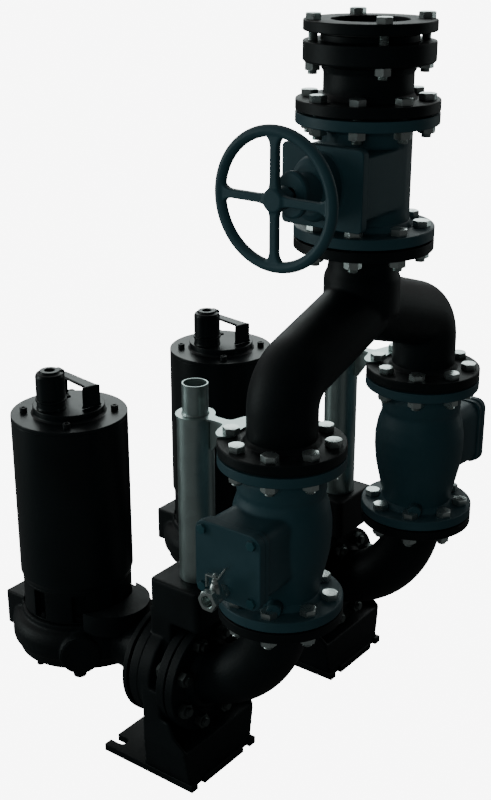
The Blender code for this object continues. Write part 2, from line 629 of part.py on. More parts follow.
def gate_valve(name):
    low, high = GATE_JOINT_Z, ADAPTER_JOINT_Z
    outline = flange_profile(low, 1, MAIN_FLANGE_R, MAIN_FLANGE_T, MAIN_FACE_R, 0.0745)
    outline += [(GATE_BODY_R, low + 0.026), (GATE_BODY_R, high - 0.026)]
    outline += list(reversed(flange_profile(high, -1, MAIN_FLANGE_R, MAIN_FLANGE_T, MAIN_FACE_R, 0.0745)))
    body = turned(outline)
    near = BONNET_FACE_Y + BONNET_T + GAP
    casing = extruded(rounded(GATE_BODY_R + 0.0004, 0.0465, 0.006, (0, GATE_Z + 0.001), 3), "Y", near, 0.004)
    back = hull([(x, y, GATE_Z + z) for x, y in ((-0.058, 0), (0.058, 0), (0.046, 0.060), (-0.046, 0.060))
                 for z in (-0.040, 0.040)])
    bore = rod((0, 0, low - 0.02), (0, 0, high + 0.02), MAIN_BORE_R)
    return piece(name, cut(union(body, casing, back), bore), BLUE)


def gate_bonnet(name):
    plate = extruded(rounded(BONNET_HALF, BONNET_HALF_Z, 0.008, (0, GATE_Z - 0.002), 3), "Y",
                     BONNET_FACE_Y, BONNET_FACE_Y + BONNET_T)
    dome = turned([(0, -BONNET_FACE_Y - 0.004), (0.0385, -BONNET_FACE_Y - 0.004), (0.0380, 0.144), (0.0350, 0.152),
                   (0.0290, 0.157), (0, 0.157)])
    neck = turned([(0, 0.150), (0.0265, 0.150), (0.0260, 0.192), (0, 0.192)])
    gland = turned([(0, 0.190), (0.0270, 0.190), (0.0270, 0.198), (0.0240, 0.200), (0, 0.200)])
    parts = []
    for part, tall in ((dome, DOME_TALL), (neck, 1.0), (gland, 1.28)):
        part.transform(Matrix.Translation((0, 0, GATE_Z)) @ Matrix.Diagonal((1, 1, tall, 1))
                       @ Matrix.Rotation(math.pi / 2, 4, "X"))
        parts.append(part)
    hole = rod((0, -0.205, GATE_Z), (0, -0.150, GATE_Z), STEM_R + GAP)
    return piece(name, cut(union(plate, *parts), hole), BLUE)


def gate_stem(name):
    stem = rod((0, -0.152, GATE_Z), (0, WHEEL_Y - HUB_SKIN + GAP, GATE_Z), STEM_R)
    return piece(name, stem, STEEL, (0, WHEEL_Y, GATE_Z))


def handwheel(name):
    rim = turned([(WHEEL_R + WHEEL_RIM_R * math.cos(math.radians(45 * k)),
                   WHEEL_RIM_R * math.sin(math.radians(45 * k))) for k in range(8)],
                 (0, WHEEL_Y, GATE_Z), "Y", FINE)
    hub = turned([(0, -0.0085), (0.0165, -0.0085), (0.0175, -0.0075), (0.0175, 0.0060), (0.0165, 0.0090),
                  (0.0165, 0.0230), (STEM_R + GAP, 0.0230), (STEM_R + GAP, -HUB_SKIN), (0, -HUB_SKIN)],
                 (0, WHEEL_Y, GATE_Z), "Y", COARSE)
    spokes = []
    for index in range(4):
        side = [(0.010, 0.0065), (0.075, 0.0065), (0.0835, 0.0090), (0.0905, 0.0165), (WHEEL_R, 0.0165)]
        arm = extruded(side + [(a, -b) for a, b in reversed(side)], "Y", -0.0055, 0.0055)
        arm.transform(Matrix.Translation((0, WHEEL_Y, GATE_Z)) @ Matrix.Rotation(math.pi / 2 * index, 4, "Y"))
        spokes.append(arm)
    return piece(name, union(rim, hub, *spokes), BLUE, (0, WHEEL_Y, GATE_Z))


def adapter(name):
    low = ADAPTER_JOINT_Z
    outline = [(MAIN_BORE_R, low + GAP / 2)] + flange_profile(low, 1, MAIN_FLANGE_R, MAIN_FLANGE_T, MAIN_FACE_R, 0.0745)[1:]
    outline += [(ADAPTER_NECK_R, low + 0.027), (ADAPTER_NECK_R, 1.180), (0.074, 1.190),
                (SOCKET_R - 0.002, 1.1955), (SOCKET_R, 1.198), (SOCKET_R, SOCKET_TOP - 0.0015),
                (SOCKET_R - 0.0015, SOCKET_TOP), (NOSE_R, SOCKET_TOP), (NOSE_R, RING_Z0 - GAP),
                (0.0605, RING_Z0 - GAP), (0.0605, 1.185), (MAIN_BORE_R, 1.183)]
    return piece(name, turned(outline), BLACK)


def adapter_ring(name):
    outline = [(RING_BORE_R, RING_Z0), (SOCKET_R - 0.0015, RING_Z0), (SOCKET_R, RING_Z0 + 0.0015),
               (SOCKET_R, RING_Z1 - 0.0015), (SOCKET_R - 0.0015, RING_Z1), (RING_BORE_R, RING_Z1)]
    return piece(name, turned(outline), BLACK)


for unit, unit_y, outer in (("front", -UNIT_Y, -1), ("back", UNIT_Y, 1)):
    foot(unit + "_foot", unit_y)
    bend(unit + "_bend", unit_y)
    check_valve(unit + "_check_valve_body", unit_y, outer)
    check_cover(unit + "_check_valve_cover", unit_y, outer)
    drain_cock(unit + "_drain_cock", unit_y, outer)
    drain_lever(unit + "_drain_lever", unit_y, outer)
    guide_tube(unit + "_guide_tube", unit_y)
    guide_bracket(unit + "_guide_bracket", unit_y)
    guide_stub(unit + "_guide_stub", unit_y)
    volute(unit + "_pump_casing", unit_y)
    pump_claw(unit + "_pump_claw", unit_y)
    suction_plate(unit + "_suction_plate", unit_y)
    oil_chamber(unit + "_oil_chamber", unit_y)
    motor_housing(unit + "_motor_housing", unit_y)
    motor_cover(unit + "_motor_cover", unit_y)
    cable_entry(unit + "_cable_entry", unit_y)
    lifting_handle(unit + "_lifting_handle", unit_y)
yoke("breeches_pipe")
gate_valve("gate_valve_body")
gate_bonnet("gate_valve_bonnet")
gate_stem("gate_valve_stem")
handwheel("handwheel")
adapter("adapter_body")
adapter_ring("adapter_ring")
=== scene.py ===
"""Looks of the twin-pump sewage pump station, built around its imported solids.

Lengths are metres in the frame of the solids, and x is counted from the riser axes until a
piece is finished. Castings are joined from simple solids and rounded off the way a cast skin
is, machined flanges stay crisp, and every ring of bolts comes from one node tree.
"""
import math

import bmesh
import bpy
from mathutils import Matrix, Vector


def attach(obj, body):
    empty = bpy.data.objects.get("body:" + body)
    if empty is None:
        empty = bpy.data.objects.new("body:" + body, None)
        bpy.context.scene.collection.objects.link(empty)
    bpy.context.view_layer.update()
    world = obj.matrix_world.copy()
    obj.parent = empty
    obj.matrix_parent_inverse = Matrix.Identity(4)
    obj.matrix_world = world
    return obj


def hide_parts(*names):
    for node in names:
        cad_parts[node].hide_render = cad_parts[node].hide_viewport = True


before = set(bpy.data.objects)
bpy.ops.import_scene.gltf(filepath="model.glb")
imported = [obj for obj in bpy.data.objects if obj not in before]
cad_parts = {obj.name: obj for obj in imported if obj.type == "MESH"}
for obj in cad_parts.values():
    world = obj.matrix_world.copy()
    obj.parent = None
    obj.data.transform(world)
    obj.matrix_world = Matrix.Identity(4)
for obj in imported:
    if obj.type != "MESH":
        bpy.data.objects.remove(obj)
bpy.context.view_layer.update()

# Flanges and joints.
LEG_FLANGE_R = 0.100
LEG_FACE_R = 0.069
LEG_BORE_R = 0.040
LEG_BOLT_CIRCLE_R = 0.080
MAIN_FLANGE_R = 0.110
MAIN_FACE_R = 0.079
MAIN_BORE_R = 0.050
MAIN_BOLT_CIRCLE_R = 0.090
FLANGE_T = 0.0165
BOLT = 0.016
RIM_GAP = 0.00165
FACE_GAP = 0.0011
SEAT = RIM_GAP + FLANGE_T
GAP = 0.0003
SUNK = 0.003
BEND_JOINT_Z = 0.374
YOKE_JOINT_Z = 0.6355
GATE_JOINT_Z = 0.931
ADAPTER_JOINT_Z = 1.1235
GATE_Z = (GATE_JOINT_Z + ADAPTER_JOINT_Z) / 2

# Plan of the units.
RISER_X = 0.2315
UNIT_Y = 0.2134
PUMP_X = -0.4535
TUBE_X = -0.170

# Foot and bend.
BASE_X0 = -0.3175
BASE_X1 = -0.1155
BASE_HALF = 0.090
BASE_T = 0.014
SLOT_R = 0.009
SLOT_DEPTH = 0.030
SLOT_Y = 0.064
INLET_Z = 0.179
INLET_X = -0.2465
INLET_HEAD_R = 0.0975
INLET_HEAD_T = 0.045
OUTLET_X = -0.1657
WAIST_Z = 0.077
HEAD_X0 = -0.2305
HEAD_X1 = -0.128
HEAD_HALF = 0.055
HEAD_Z0 = 0.290
HEAD_Z1 = 0.364
BEND_R = 0.185
BEND_PIPE_R = 0.050

# Check valve, its cover and the drain cock.
BALL_R = 0.0795
CHAMBER_HALF = 0.060
CHAMBER_Z0 = 0.438
CHAMBER_Z1 = 0.558
CHAMBER_Z = (CHAMBER_Z0 + CHAMBER_Z1) / 2
CHAMBER_HALF_Z = (CHAMBER_Z1 - CHAMBER_Z0) / 2
CHAMBER_REACH = 0.124
COVER_T = 0.0135
DRAIN_X = -0.0047
DRAIN_Z = 0.4547
DRAIN_STEM = 0.022
DRAIN_LENGTH = 0.0432
DRAIN_HEX_R = 0.0174
DRAIN_BORE_R = 0.0103
LEVER_Z = DRAIN_Z + 0.0313

# Guide tube and its holders.
TUBE_R = 0.03015
TUBE_WALL = 0.0032
STUB_R = 0.0212
STUB_TOP = 0.709
ARM_LOW = YOKE_JOINT_Z + 0.01845
ARM_T = 0.0032

# Pump.
VOLUTE_R = 0.122
VOLUTE_Z0 = 0.141
VOLUTE_Z1 = 0.222
SHOULDER_Z = 0.2105
CASING_RIM_R = 0.103
SUCTION_R = 0.036
LUG_HALF = 0.0695
LUG_REACH = 0.1195
LUG_Z0 = 0.162
LUG_Z1 = 0.230
BOSS_WAY = Vector((math.cos(math.radians(-46)), math.sin(math.radians(-46)), 0))
BOSS_R = 0.0365
BOSS_Z = 0.1765
BOSS_REACH = 0.1255
CLAW_X = -0.3725
CLAW_R = 0.070
CLAW_Z1 = 0.250
CHAMBER_R = 0.098
CHAMBER_TOP = 0.284
MOTOR_R = 0.1013
MOTOR_TOP = 0.586
COVER_TOP = 0.5927
LID_BOSS_R = 0.0625
LID_BOSS_TOP = 0.607
ENTRY_X = -0.0093
ENTRY_Y = -0.0323
ENTRY_TOP = 0.675
HANDLE_Z = 0.646
HANDLE_T = 0.005
HANDLE_NEAR = ((0.0425, -0.0070), (0.0520, 0.0255), (0.0460, 0.0270), (0.0385, -0.0060))
HANDLE_FAR = ((-0.0400, 0.0178), (-0.0370, 0.0374), (-0.0427, 0.0384), (-0.0457, 0.0190))

# Breeches pipe.
YOKE_PIPE_R = 0.0553
YOKE_STRAIGHT_Z = 0.710
YOKE_TURN_R = 0.060
YOKE_TILT = math.radians(72)
YOKE_NECK_R = 0.0535
YOKE_LEG_BORE_R = 0.044
YOKE_NECK_BORE_R = 0.046

# Gate valve and handwheel.
GATE_BODY_R = 0.070
BONNET_HALF = 0.0715
BONNET_HALF_Z = 0.061
DOME_TALL = 1.3
BONNET_FACE_Y = -0.122
BONNET_T = 0.015
STEM_R = 0.008
WHEEL_Y = -0.238
WHEEL_R = 0.0965
WHEEL_RIM_R = 0.0085

# Adapter on top.
ADAPTER_NECK_R = 0.0685
SOCKET_R = 0.100
SOCKET_TOP = 1.226
NOSE_R = 0.074
RING_Z0 = 1.240
RING_Z1 = 1.256
RING_BORE_R = 0.059
RING_BOLT_CIRCLE_R = 0.086

# How finely meshes are made.
ROUND = 96
SMALL = 32
SKIN_VOXEL = 0.0024
EDGE = 0.0012


class Value:
    """A number in a node tree; arithmetic on it adds Math nodes."""

    def __init__(self, owner, socket):
        self.owner = owner
        self.socket = socket

    def maths(self, operation, *values, clamp=False):
        settings = {"operation": operation, "use_clamp": clamp}
        return self.owner.add("ShaderNodeMath", settings, dict(enumerate(values)))

    def __add__(self, other):
        return self.maths("ADD", self, other)

    __radd__ = __add__

    def __mul__(self, other):
        return self.maths("MULTIPLY", self, other)

    __rmul__ = __mul__

    def __sub__(self, other):
        return self.maths("SUBTRACT", self, other)

    def __rsub__(self, other):
        return self.maths("SUBTRACT", other, self)

    def held(self):
        return self.maths("ADD", self, 0.0, clamp=True)


class Nodes:
    """A node tree whose nodes all come from add()."""

    def __init__(self, tree):
        self.tree = tree

    def add(self, kind, settings, sockets, output=0):
        """A node of any kind: its settings come first, then its sockets' values or links."""
        node = self.tree.nodes.new(kind)
        for key, value in settings.items():
            setattr(node, key, value)
        for key, value in sockets.items():
            if isinstance(value, Value):
                self.tree.links.new(value.socket, node.inputs[key])
            else:
                node.inputs[key].default_value = value
        return Value(self, node.outputs[output])

    def between(self, value, low, high):
        """0 below low, 1 above high, smooth in between."""
        return self.add("ShaderNodeMapRange", {"interpolation_type": "SMOOTHSTEP"},
                        {"Value": value, "From Min": low, "From Max": high})

    def mixed(self, share, first, second):
        """Mixes two colours."""
        sockets = {"Factor": share, 6: self.opaque(first), 7: self.opaque(second)}
        return self.add("ShaderNodeMix", {"data_type": "RGBA"}, sockets, 2)

    @staticmethod
    def opaque(colour):
        return colour if isinstance(colour, Value) else (*colour, 1.0)


class Coat(Nodes):
    """One finish on a Principled shader."""

    def __init__(self, name, roughness, metallic=0.0, gloss=0.5):
        self.material = bpy.data.materials.new(name)
        self.material.use_nodes = True
        super().__init__(self.material.node_tree)
        self.shader = self.tree.nodes["Principled BSDF"]
        self.shader.inputs["Roughness"].default_value = roughness
        self.shader.inputs["Metallic"].default_value = metallic
        self.shader.inputs["Specular IOR Level"].default_value = gloss
        self.place = self.add("ShaderNodeTexCoord", {}, {}, "Object")

    def noise(self, scale, detail=2.0, rough=0.5, stretch=(1, 1, 1)):
        place = self.add("ShaderNodeVectorMath", {"operation": "MULTIPLY"}, {0: self.place, 1: stretch})
        return self.add("ShaderNodeTexNoise", {}, {"Vector": place, "Scale": scale, "Detail": detail,
                                                   "Roughness": rough})

    def upward(self):
        """1 on faces that look straight up, 0 on upright and hanging ones."""
        normal = self.add("ShaderNodeNewGeometry", {}, {}, "Normal")
        return self.between(self.add("ShaderNodeSeparateXYZ", {}, {0: normal}, "Z"), 0.55, 0.98)

    def worn_edges(self, sharp):
        """Narrow marks along the outer edges."""
        return self.between(self.add("ShaderNodeNewGeometry", {}, {}, "Pointiness"), 0.5 + sharp,
                            0.58 + sharp)

    def set(self, name, value):
        if isinstance(value, Value):
            self.tree.links.new(value.socket, self.shader.inputs[name])
        else:
            self.shader.inputs[name].default_value = value

    def bumped(self, height, strength, distance):
        self.set("Normal", self.add("ShaderNodeBump", {}, {"Height": height, "Strength": strength,
                                                           "Distance": distance}))


def cast_coat(name, dark, light, dust, roughness, grain=1.0, wear=(0.10, 0.11, 0.11), gloss=0.3):
    """Thick paint on a casting: faint sand grain, uneven gloss, a little dust and rubbed edges."""
    coat = Coat(name, roughness, 0.0, gloss)
    cloud = coat.noise(9.0, 4.0, 0.6)
    fine = coat.noise(170.0, 3.0, 0.65)
    sand = coat.noise(620.0, 2.0, 0.7)
    colour = coat.mixed(coat.between(cloud, 0.34, 0.68), dark, light)
    settled = (coat.upward() * coat.between(coat.noise(26.0, 5.0, 0.7), 0.42, 0.75) * 0.34).held()
    colour = coat.mixed(settled, colour, dust)
    rubbed = (coat.worn_edges(0.035) * coat.between(fine, 0.45, 0.7) * 0.35).held()
    coat.set("Base Color", coat.mixed(rubbed, colour, wear))
    coat.set("Roughness", (roughness - 0.05 + cloud * 0.10 + fine * 0.05 + settled * 0.25).held())
    coat.bumped(fine * 0.55 + sand * 0.45, 0.30 * grain, 0.0009)
    return coat.material


def sheet_coat(name, dark, light, dust, roughness):
    """Sprayed paint on smooth turned or drawn steel, with a faint orange peel and handling scuffs."""
    coat = Coat(name, roughness, 0.0, 0.2)
    cloud = coat.noise(6.0, 3.0, 0.5)
    peel = coat.noise(240.0, 1.0, 0.4)
    scuffs = coat.between(coat.noise(60.0, 6.0, 0.75, (1.0, 1.0, 0.25)), 0.62, 0.78)
    colour = coat.mixed(coat.between(cloud, 0.35, 0.65), dark, light)
    settled = (coat.upward() * coat.between(coat.noise(30.0, 5.0, 0.7), 0.45, 0.75) * 0.22).held()
    coat.set("Base Color", coat.mixed((scuffs * 0.10 + settled).held(), colour, dust))
    coat.set("Roughness", (roughness - 0.03 + cloud * 0.06 + scuffs * 0.12 + settled * 0.2).held())
    coat.bumped(peel, 0.10, 0.0005)
    return coat.material


def zinc_coat(name, low, high, roughness, spangle):
    """Hot-dip zinc: pale crystals of uneven gloss with dull runs between them."""
    coat = Coat(name, roughness, 0.95)
    crystal = coat.add("ShaderNodeTexVoronoi", {"feature": "F1"}, {"Vector": coat.place, "Scale": spangle},
                       "Color")
    tone = coat.add("ShaderNodeSeparateXYZ", {}, {0: crystal}, "X")
    cloud = coat.noise(14.0, 4.0, 0.6)
    fine = coat.noise(420.0, 2.0, 0.6)
    share = (tone * 0.20 + cloud * 0.80 - 0.02).held()
    colour = coat.mixed(share, low, high)
    dull = coat.between(coat.noise(38.0, 5.0, 0.7, (1.0, 1.0, 0.35)), 0.58, 0.74)
    coat.set("Base Color", coat.mixed((dull * 0.35).held(), colour, (0.34, 0.36, 0.36)))
    coat.set("Roughness", (roughness + tone * 0.04 + dull * 0.18 - 0.03).held())
    coat.bumped(fine * 0.8 + tone * 0.2, 0.12, 0.0004)
    return coat.material


def turned_steel(name):
    coat = Coat(name, 0.28, 1.0)
    rings = coat.noise(900.0, 2.0, 0.5, (0.02, 1.0, 0.02))
    colour = coat.mixed(coat.between(rings, 0.3, 0.7), (0.42, 0.43, 0.43), (0.62, 0.63, 0.62))
    coat.set("Base Color", colour)
    coat.set("Roughness", (0.22 + rings * 0.16).held())
    coat.bumped(rings, 0.15, 0.0002)
    return coat.material


def packing_rubber(name):
    coat = Coat(name, 0.75)
    grain = coat.noise(500.0, 3.0, 0.7)
    coat.set("Base Color", coat.mixed(grain, (0.010, 0.011, 0.011), (0.028, 0.029, 0.028)))
    coat.set("Roughness", (0.66 + grain * 0.2).held())
    coat.bumped(grain, 0.35, 0.0003)
    return coat.material


BLACK_CASTING = cast_coat("black_casting", (0.0022, 0.0040, 0.0046), (0.0048, 0.0074, 0.0084),
                          (0.016, 0.020, 0.020), 0.50,
                          1.0, (0.030, 0.040, 0.040), 0.20)
BLACK_SHEET = sheet_coat("black_sheet", (0.0030, 0.0050, 0.0056), (0.0055, 0.0085, 0.0095),
                         (0.020, 0.027, 0.027), 0.34)
PETROL_CASTING = cast_coat("petrol_casting", (0.019, 0.052, 0.064), (0.026, 0.063, 0.077),
                           (0.050, 0.078, 0.080),
                           0.48, 0.8, (0.075, 0.120, 0.130), 0.26)
PETROL_BOLT = cast_coat("petrol_painted_bolt", (0.014, 0.056, 0.069), (0.020, 0.070, 0.083),
                        (0.050, 0.075, 0.077), 0.42,
                        0.3, (0.09, 0.14, 0.15), 0.32)
BLACK_BOLT = cast_coat("black_painted_bolt", (0.004, 0.005, 0.006), (0.008, 0.010, 0.011),
                       (0.02, 0.02, 0.02), 0.42,
                       0.3, (0.05, 0.05, 0.05), 0.30)
ZINC_TUBE = zinc_coat("galvanised_tube", (0.38, 0.46, 0.45), (0.56, 0.68, 0.66), 0.36, 55.0)
ZINC_BOLT = zinc_coat("galvanised_bolt", (0.45, 0.51, 0.50), (0.68, 0.76, 0.74), 0.30, 260.0)
# Galvanised bolt finish darkened as painted shade, for nuts that stand in shade; the darkness is not
# weathering.
SHADED_BOLT = zinc_coat("bolt_in_painted_shade", (0.070, 0.085, 0.082), (0.150, 0.175, 0.170), 0.42, 260.0)
STEEL = turned_steel("turned_steel")
RUBBER = packing_rubber("packing_rubber")


def meshed(shape, merge=0.0):
    """A mesh of a closed bmesh, with its faces pointing out."""
    if merge:
        bmesh.ops.remove_doubles(shape, verts=shape.verts[:], dist=merge)
    bmesh.ops.recalc_face_normals(shape, faces=shape.faces[:])
    mesh = bpy.data.meshes.new("shape")
    shape.to_mesh(mesh)
    shape.free()
    return mesh


def eased(outline, ease=EDGE, bends=3):
    """Rounds the corners of a closed outline; a third number in a point is its own radius."""
    soft = []
    for index, point in enumerate(outline):
        here = Vector(point[:2])
        before = Vector(outline[index - 1][:2]) - here
        after = Vector(outline[(index + 1) % len(outline)][:2]) - here
        radius = point[2] if len(point) > 2 else ease
        angle = before.angle(after)
        if radius <= 0 or angle > math.radians(175) or here.x < 1e-6:
            soft.append(tuple(here))
            continue
        reach = min(radius / math.tan(angle / 2), 0.46 * before.length, 0.46 * after.length)
        start = here + before.normalized() * reach
        end = here + after.normalized() * reach
        for step in range(bends + 1):
            share = step / bends
            soft.append(tuple(start * (1 - share) ** 2 + here * 2 * share * (1 - share) + end * share ** 2))
    return soft


def turned(outline, centre=(0, 0, 0), axis="Z", steps=ROUND, ease=EDGE):
    """Turns a closed outline of (radius, height) points about an axis through centre."""
    shape = bmesh.new()
    rings = []
    for radius, height in eased(outline, ease):
        if radius < 1e-7:
            rings.append([shape.verts.new((0, 0, height))])
            continue
        angles = [2 * math.pi * (step + 0.5) / steps for step in range(steps)]
        rings.append([shape.verts.new((radius * math.cos(a), radius * math.sin(a), height))
                      for a in angles])
    for here, after in zip(rings, rings[1:] + rings[:1]):
        for step in range(steps):
            onward = (step + 1) % steps
            corners = [here[step % len(here)], here[onward % len(here)],
                       after[onward % len(after)], after[step % len(after)]]
            corners = list(dict.fromkeys(corners))
            if len(corners) > 2:
                shape.faces.new(corners)
    turn = {"Z": Matrix.Identity(4), "X": Matrix.Rotation(math.pi / 2, 4, "Y"),
            "Y": Matrix.Rotation(-math.pi / 2, 4, "X")}[axis]
    bmesh.ops.transform(shape, matrix=Matrix.Translation(centre) @ turn, verts=shape.verts[:])
    return meshed(shape)


def rod(start, end, radius, end_radius=None, steps=SMALL):
    """A round bar or cone from one point to another."""
    start = Vector(start)
    way = Vector(end) - start
    shape = bmesh.new()
    bmesh.ops.create_cone(shape, cap_ends=True, segments=steps, radius1=radius,
                          radius2=radius if end_radius is None else end_radius, depth=way.length)
    place = Matrix.Translation(start + way / 2) @ way.to_track_quat("Z", "Y").to_matrix().to_4x4()
    bmesh.ops.transform(shape, matrix=place, verts=shape.verts[:])
    return meshed(shape)


def hull(points):
    """The convex solid around some points."""
    shape = bmesh.new()
    for point in points:
        shape.verts.new(point)
    bmesh.ops.convex_hull(shape, input=shape.verts[:])
    loose = [vert for vert in shape.verts if not vert.link_faces]
    bmesh.ops.delete(shape, geom=loose, context="VERTS")
    bmesh.ops.dissolve_limit(shape, angle_limit=0.002, verts=shape.verts[:], edges=shape.edges[:])
    return meshed(shape)


def block(x0, x1, y0, y1, z0, z1):
    return hull([(x, y, z) for x in (x0, x1) for y in (y0, y1) for z in (z0, z1)])


def prism(outline, along, low, high):
    """A flat outline drawn out along one axis; its points hold the other two coordinates in order."""
    place = {"X": lambda a, b, h: (h, a, b), "Y": lambda a, b, h: (a, h, b), "Z": lambda a, b, h: (a, b, h)}
    shape = bmesh.new()
    lower = [shape.verts.new(place[along](a, b, low)) for a, b in outline]
    upper = [shape.verts.new(place[along](a, b, high)) for a, b in outline]
    shape.faces.new(lower)
    shape.faces.new(upper)
    for index in range(len(outline)):
        onward = (index + 1) % len(outline)
        shape.faces.new((lower[index], lower[onward], upper[onward], upper[index]))
    return meshed(shape)


def rounded(half_a, half_b, radius, centre=(0, 0), steps=8):
    """The outline of a rectangle with round corners."""
    points = []
    for turn, (side_a, side_b) in enumerate(((1, 1), (-1, 1), (-1, -1), (1, -1))):
        for step in range(steps + 1):
            angle = math.pi / 2 * (turn + step / steps)
            points.append((centre[0] + side_a * (half_a - radius) + radius * math.cos(angle),
                           centre[1] + side_b * (half_b - radius) + radius * math.sin(angle)))
    return points


def swept(path, radius, across, steps=48):
    """A round bar along a flat path; across is square to the path's plane."""
    shape = bmesh.new()
    across = Vector(across).normalized()
    path = [Vector(point) for point in path]
    rings = []
    for index, point in enumerate(path):
        before = path[max(index - 1, 0)]
        after = path[min(index + 1, len(path) - 1)]
        outward = (after - before).normalized().cross(across)
        angles = [2 * math.pi * (step + 0.5) / steps for step in range(steps)]
        rings.append([shape.verts.new(point + radius * (math.cos(a) * outward + math.sin(a) * across))
                      for a in angles])
    for here, after in zip(rings, rings[1:]):
        for step in range(steps):
            onward = (step + 1) % steps
            shape.faces.new((here[step], here[onward], after[onward], after[step]))
    shape.faces.new(rings[0])
    shape.faces.new(rings[-1])
    return meshed(shape)


def evaluated(body):
    """The mesh of an object with its modifiers, and the object gone."""
    graph = bpy.context.evaluated_depsgraph_get()
    mesh = bpy.data.meshes.new_from_object(body.evaluated_get(graph))
    bpy.data.objects.remove(body, do_unlink=True)
    return mesh


def held(mesh, name="shape"):
    body = bpy.data.objects.new(name, mesh)
    bpy.context.collection.objects.link(body)
    return body


def reshaped(mesh, *steps):
    """Runs modifiers over a mesh; each step is a modifier's kind and its settings."""
    body = held(mesh)
    for kind, settings in steps:
        change = body.modifiers.new(kind, kind)
        for key, value in settings.items():
            setattr(change, key, value)
    return evaluated(body)


def combined(base, others, operation):
    """Joins meshes to a base mesh, or cuts them out of it, with exact Booleans."""
    body = held(base)
    tools = [held(mesh, "tool") for mesh in others]
    for tool in tools:
        change = body.modifiers.new("change", "BOOLEAN")
        change.operation = operation
        change.solver = "EXACT"
        change.object = tool
    mesh = evaluated(body)
    for tool in tools:
        bpy.data.objects.remove(tool, do_unlink=True)
    return mesh


def union(base, *others):
    return combined(base, others, "UNION")


def cut(base, *others):
    return combined(base, others, "DIFFERENCE")


def cast(mesh, passes=6, voxel=SKIN_VOXEL):
    """Gives a joined solid the rounded edges and fillets of a casting."""
    return reshaped(mesh, ("REMESH", {"mode": "VOXEL", "voxel_size": voxel}),
                    ("SMOOTH", {"factor": 0.5, "iterations": passes}))


def bevelled(mesh, width=EDGE, segments=3, angle=32):
    """Breaks the sharp edges of a plate or bar."""
    return reshaped(mesh, ("BEVEL", {"width": width, "segments": segments, "limit_method": "ANGLE",
                                     "angle_limit": math.radians(angle), "harden_normals": False}))


def together(*meshes):
    """Several meshes as one, without changing any of them."""
    shape = bmesh.new()
    for mesh in meshes:
        shape.from_mesh(mesh)
    mesh = bpy.data.meshes.new("shape")
    shape.to_mesh(mesh)
    shape.free()
    return mesh


def piece(name, mesh, material, body, replaces=()):
    """A finished piece that rides a body of the solids."""
    mesh.transform(Matrix.Translation((RISER_X, 0, 0)))
    mesh.materials.clear()
    mesh.materials.append(material)
    mesh.polygons.foreach_set("material_index", [0] * len(mesh.polygons))
    mesh.shade_smooth()
    mesh.set_sharp_from_angle(angle=math.radians(38))
    mesh = reshaped(mesh, ("WEIGHTED_NORMAL", {"keep_sharp": True, "weight": 60}))
    made = held(mesh, name)
    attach(made, body)
    if replaces:
        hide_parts(*replaces)
    return made


def flange(joint, inward, radius, face_r, bore, hub, neck, centre=(0, 0, 0), axis="Z", hub_length=0.010):
    """A machined flange with its raised face, and the start of the hub behind it."""
    face = joint + inward * FACE_GAP
    rim = joint + inward * RIM_GAP
    back = joint + inward * SEAT
    end = back + inward * hub_length
    outline = [(bore, face), (face_r, face, 0.0004), (face_r, rim, 0.0004), (radius, rim, 0.0010),
               (radius, back, 0.0022),
               (hub, back, 0.0045), (neck, end, 0.0030), (bore, end)]
    return turned(outline, centre, axis)


def gasket(name, joint, face_r, bore, centre=(0, 0, 0), axis="Z"):
    low, high = joint - FACE_GAP, joint + FACE_GAP
    inner, outer = bore + 0.001, face_r + 0.0015
    ring = turned([(inner, low), (outer, low), (outer, high), (inner, high)], centre, axis, ROUND, 0.0004)
    return piece(name, ring, RUBBER, "base")


def hexagon(width):
    """Corners of a hexagon that is this wide across its flats."""
    radius = width / math.sqrt(3)
    return [(radius * math.cos(a), radius * math.sin(a)) for a in (math.pi / 3 * k for k in range(6))]


def hex_solid(width, low, high, top=True, bottom=False):
    """Hexagonal bar with its corners turned off at the ends that show."""
    bar = prism(hexagon(width), "Z", low, high)
    reach = width / math.sqrt(3) + 0.0005
    shy = width * 0.475
    drop = (reach - shy) * 0.42
    outline = [(0, low), (shy if bottom else reach, low), (reach, low + (drop if bottom else 0.0001)),
               (reach, high - (drop if top else 0.0001)), (shy if top else reach, high), (0, high)]
    return combined(bar, [turned(outline, steps=SMALL, ease=0)], "INTERSECT")


def thread(radius, low, high, pitch):
    """Threaded length as fine ridges, closed at both ends."""
    outline = [(0, low)]
    count = max(2, round((high - low) / pitch))
    for step in range(count):
        start = low + (high - low) * step / count
        outline.append((radius * 0.90, start + 0.02 * pitch))
        outline.append((radius, start + 0.5 * pitch))
    outline += [(radius * 0.86, high), (0, high)]
    return turned(outline, steps=16, ease=0)


def washer(radius, hole, low, high):
    return turned([(hole, low), (radius, low), (radius, high), (hole, high)], steps=SMALL, ease=0.0004)


def hex_bolt(size, over, under):
    """Bolt through a joint at height 0: head above, nut and thread's end below."""
    wide = 1.5 * size
    nut = 0.80 * size
    tail = 0.38 * size
    return together(hex_solid(wide, over + 0.0002, over + 0.64 * size),
                    washer(0.72 * size, 0.52 * size, over, over + 0.0004),
                    hex_solid(wide, -under - nut, -under, True, True),
                    thread(size / 2, -under - nut - tail, over + 0.0002, 0.002))


def hex_screw(size, head, washers=False):
    """Screw head on a surface at height 0."""
    disc = 0.14 * size if washers else 0.0
    parts = [hex_solid(1.5 * size, disc, disc + head),
             rod((0, 0, -SUNK), (0, 0, disc + 0.0002), size / 2, steps=12)]
    if washers:
        parts.append(washer(0.90 * size, 0.52 * size, 0, disc))
    return together(*parts)


def cap_screw(radius, height):
    """Round screw head with a hexagonal socket, on a surface at height 0."""
    head = turned([(0, -SUNK), (radius * 0.6, -SUNK), (radius * 0.6, 0), (radius, 0),
                   (radius, height, 0.0008), (0, height)],
                  steps=SMALL, ease=0)
    return cut(head, prism(hexagon(radius), "Z", height * 0.45, height + 0.01))


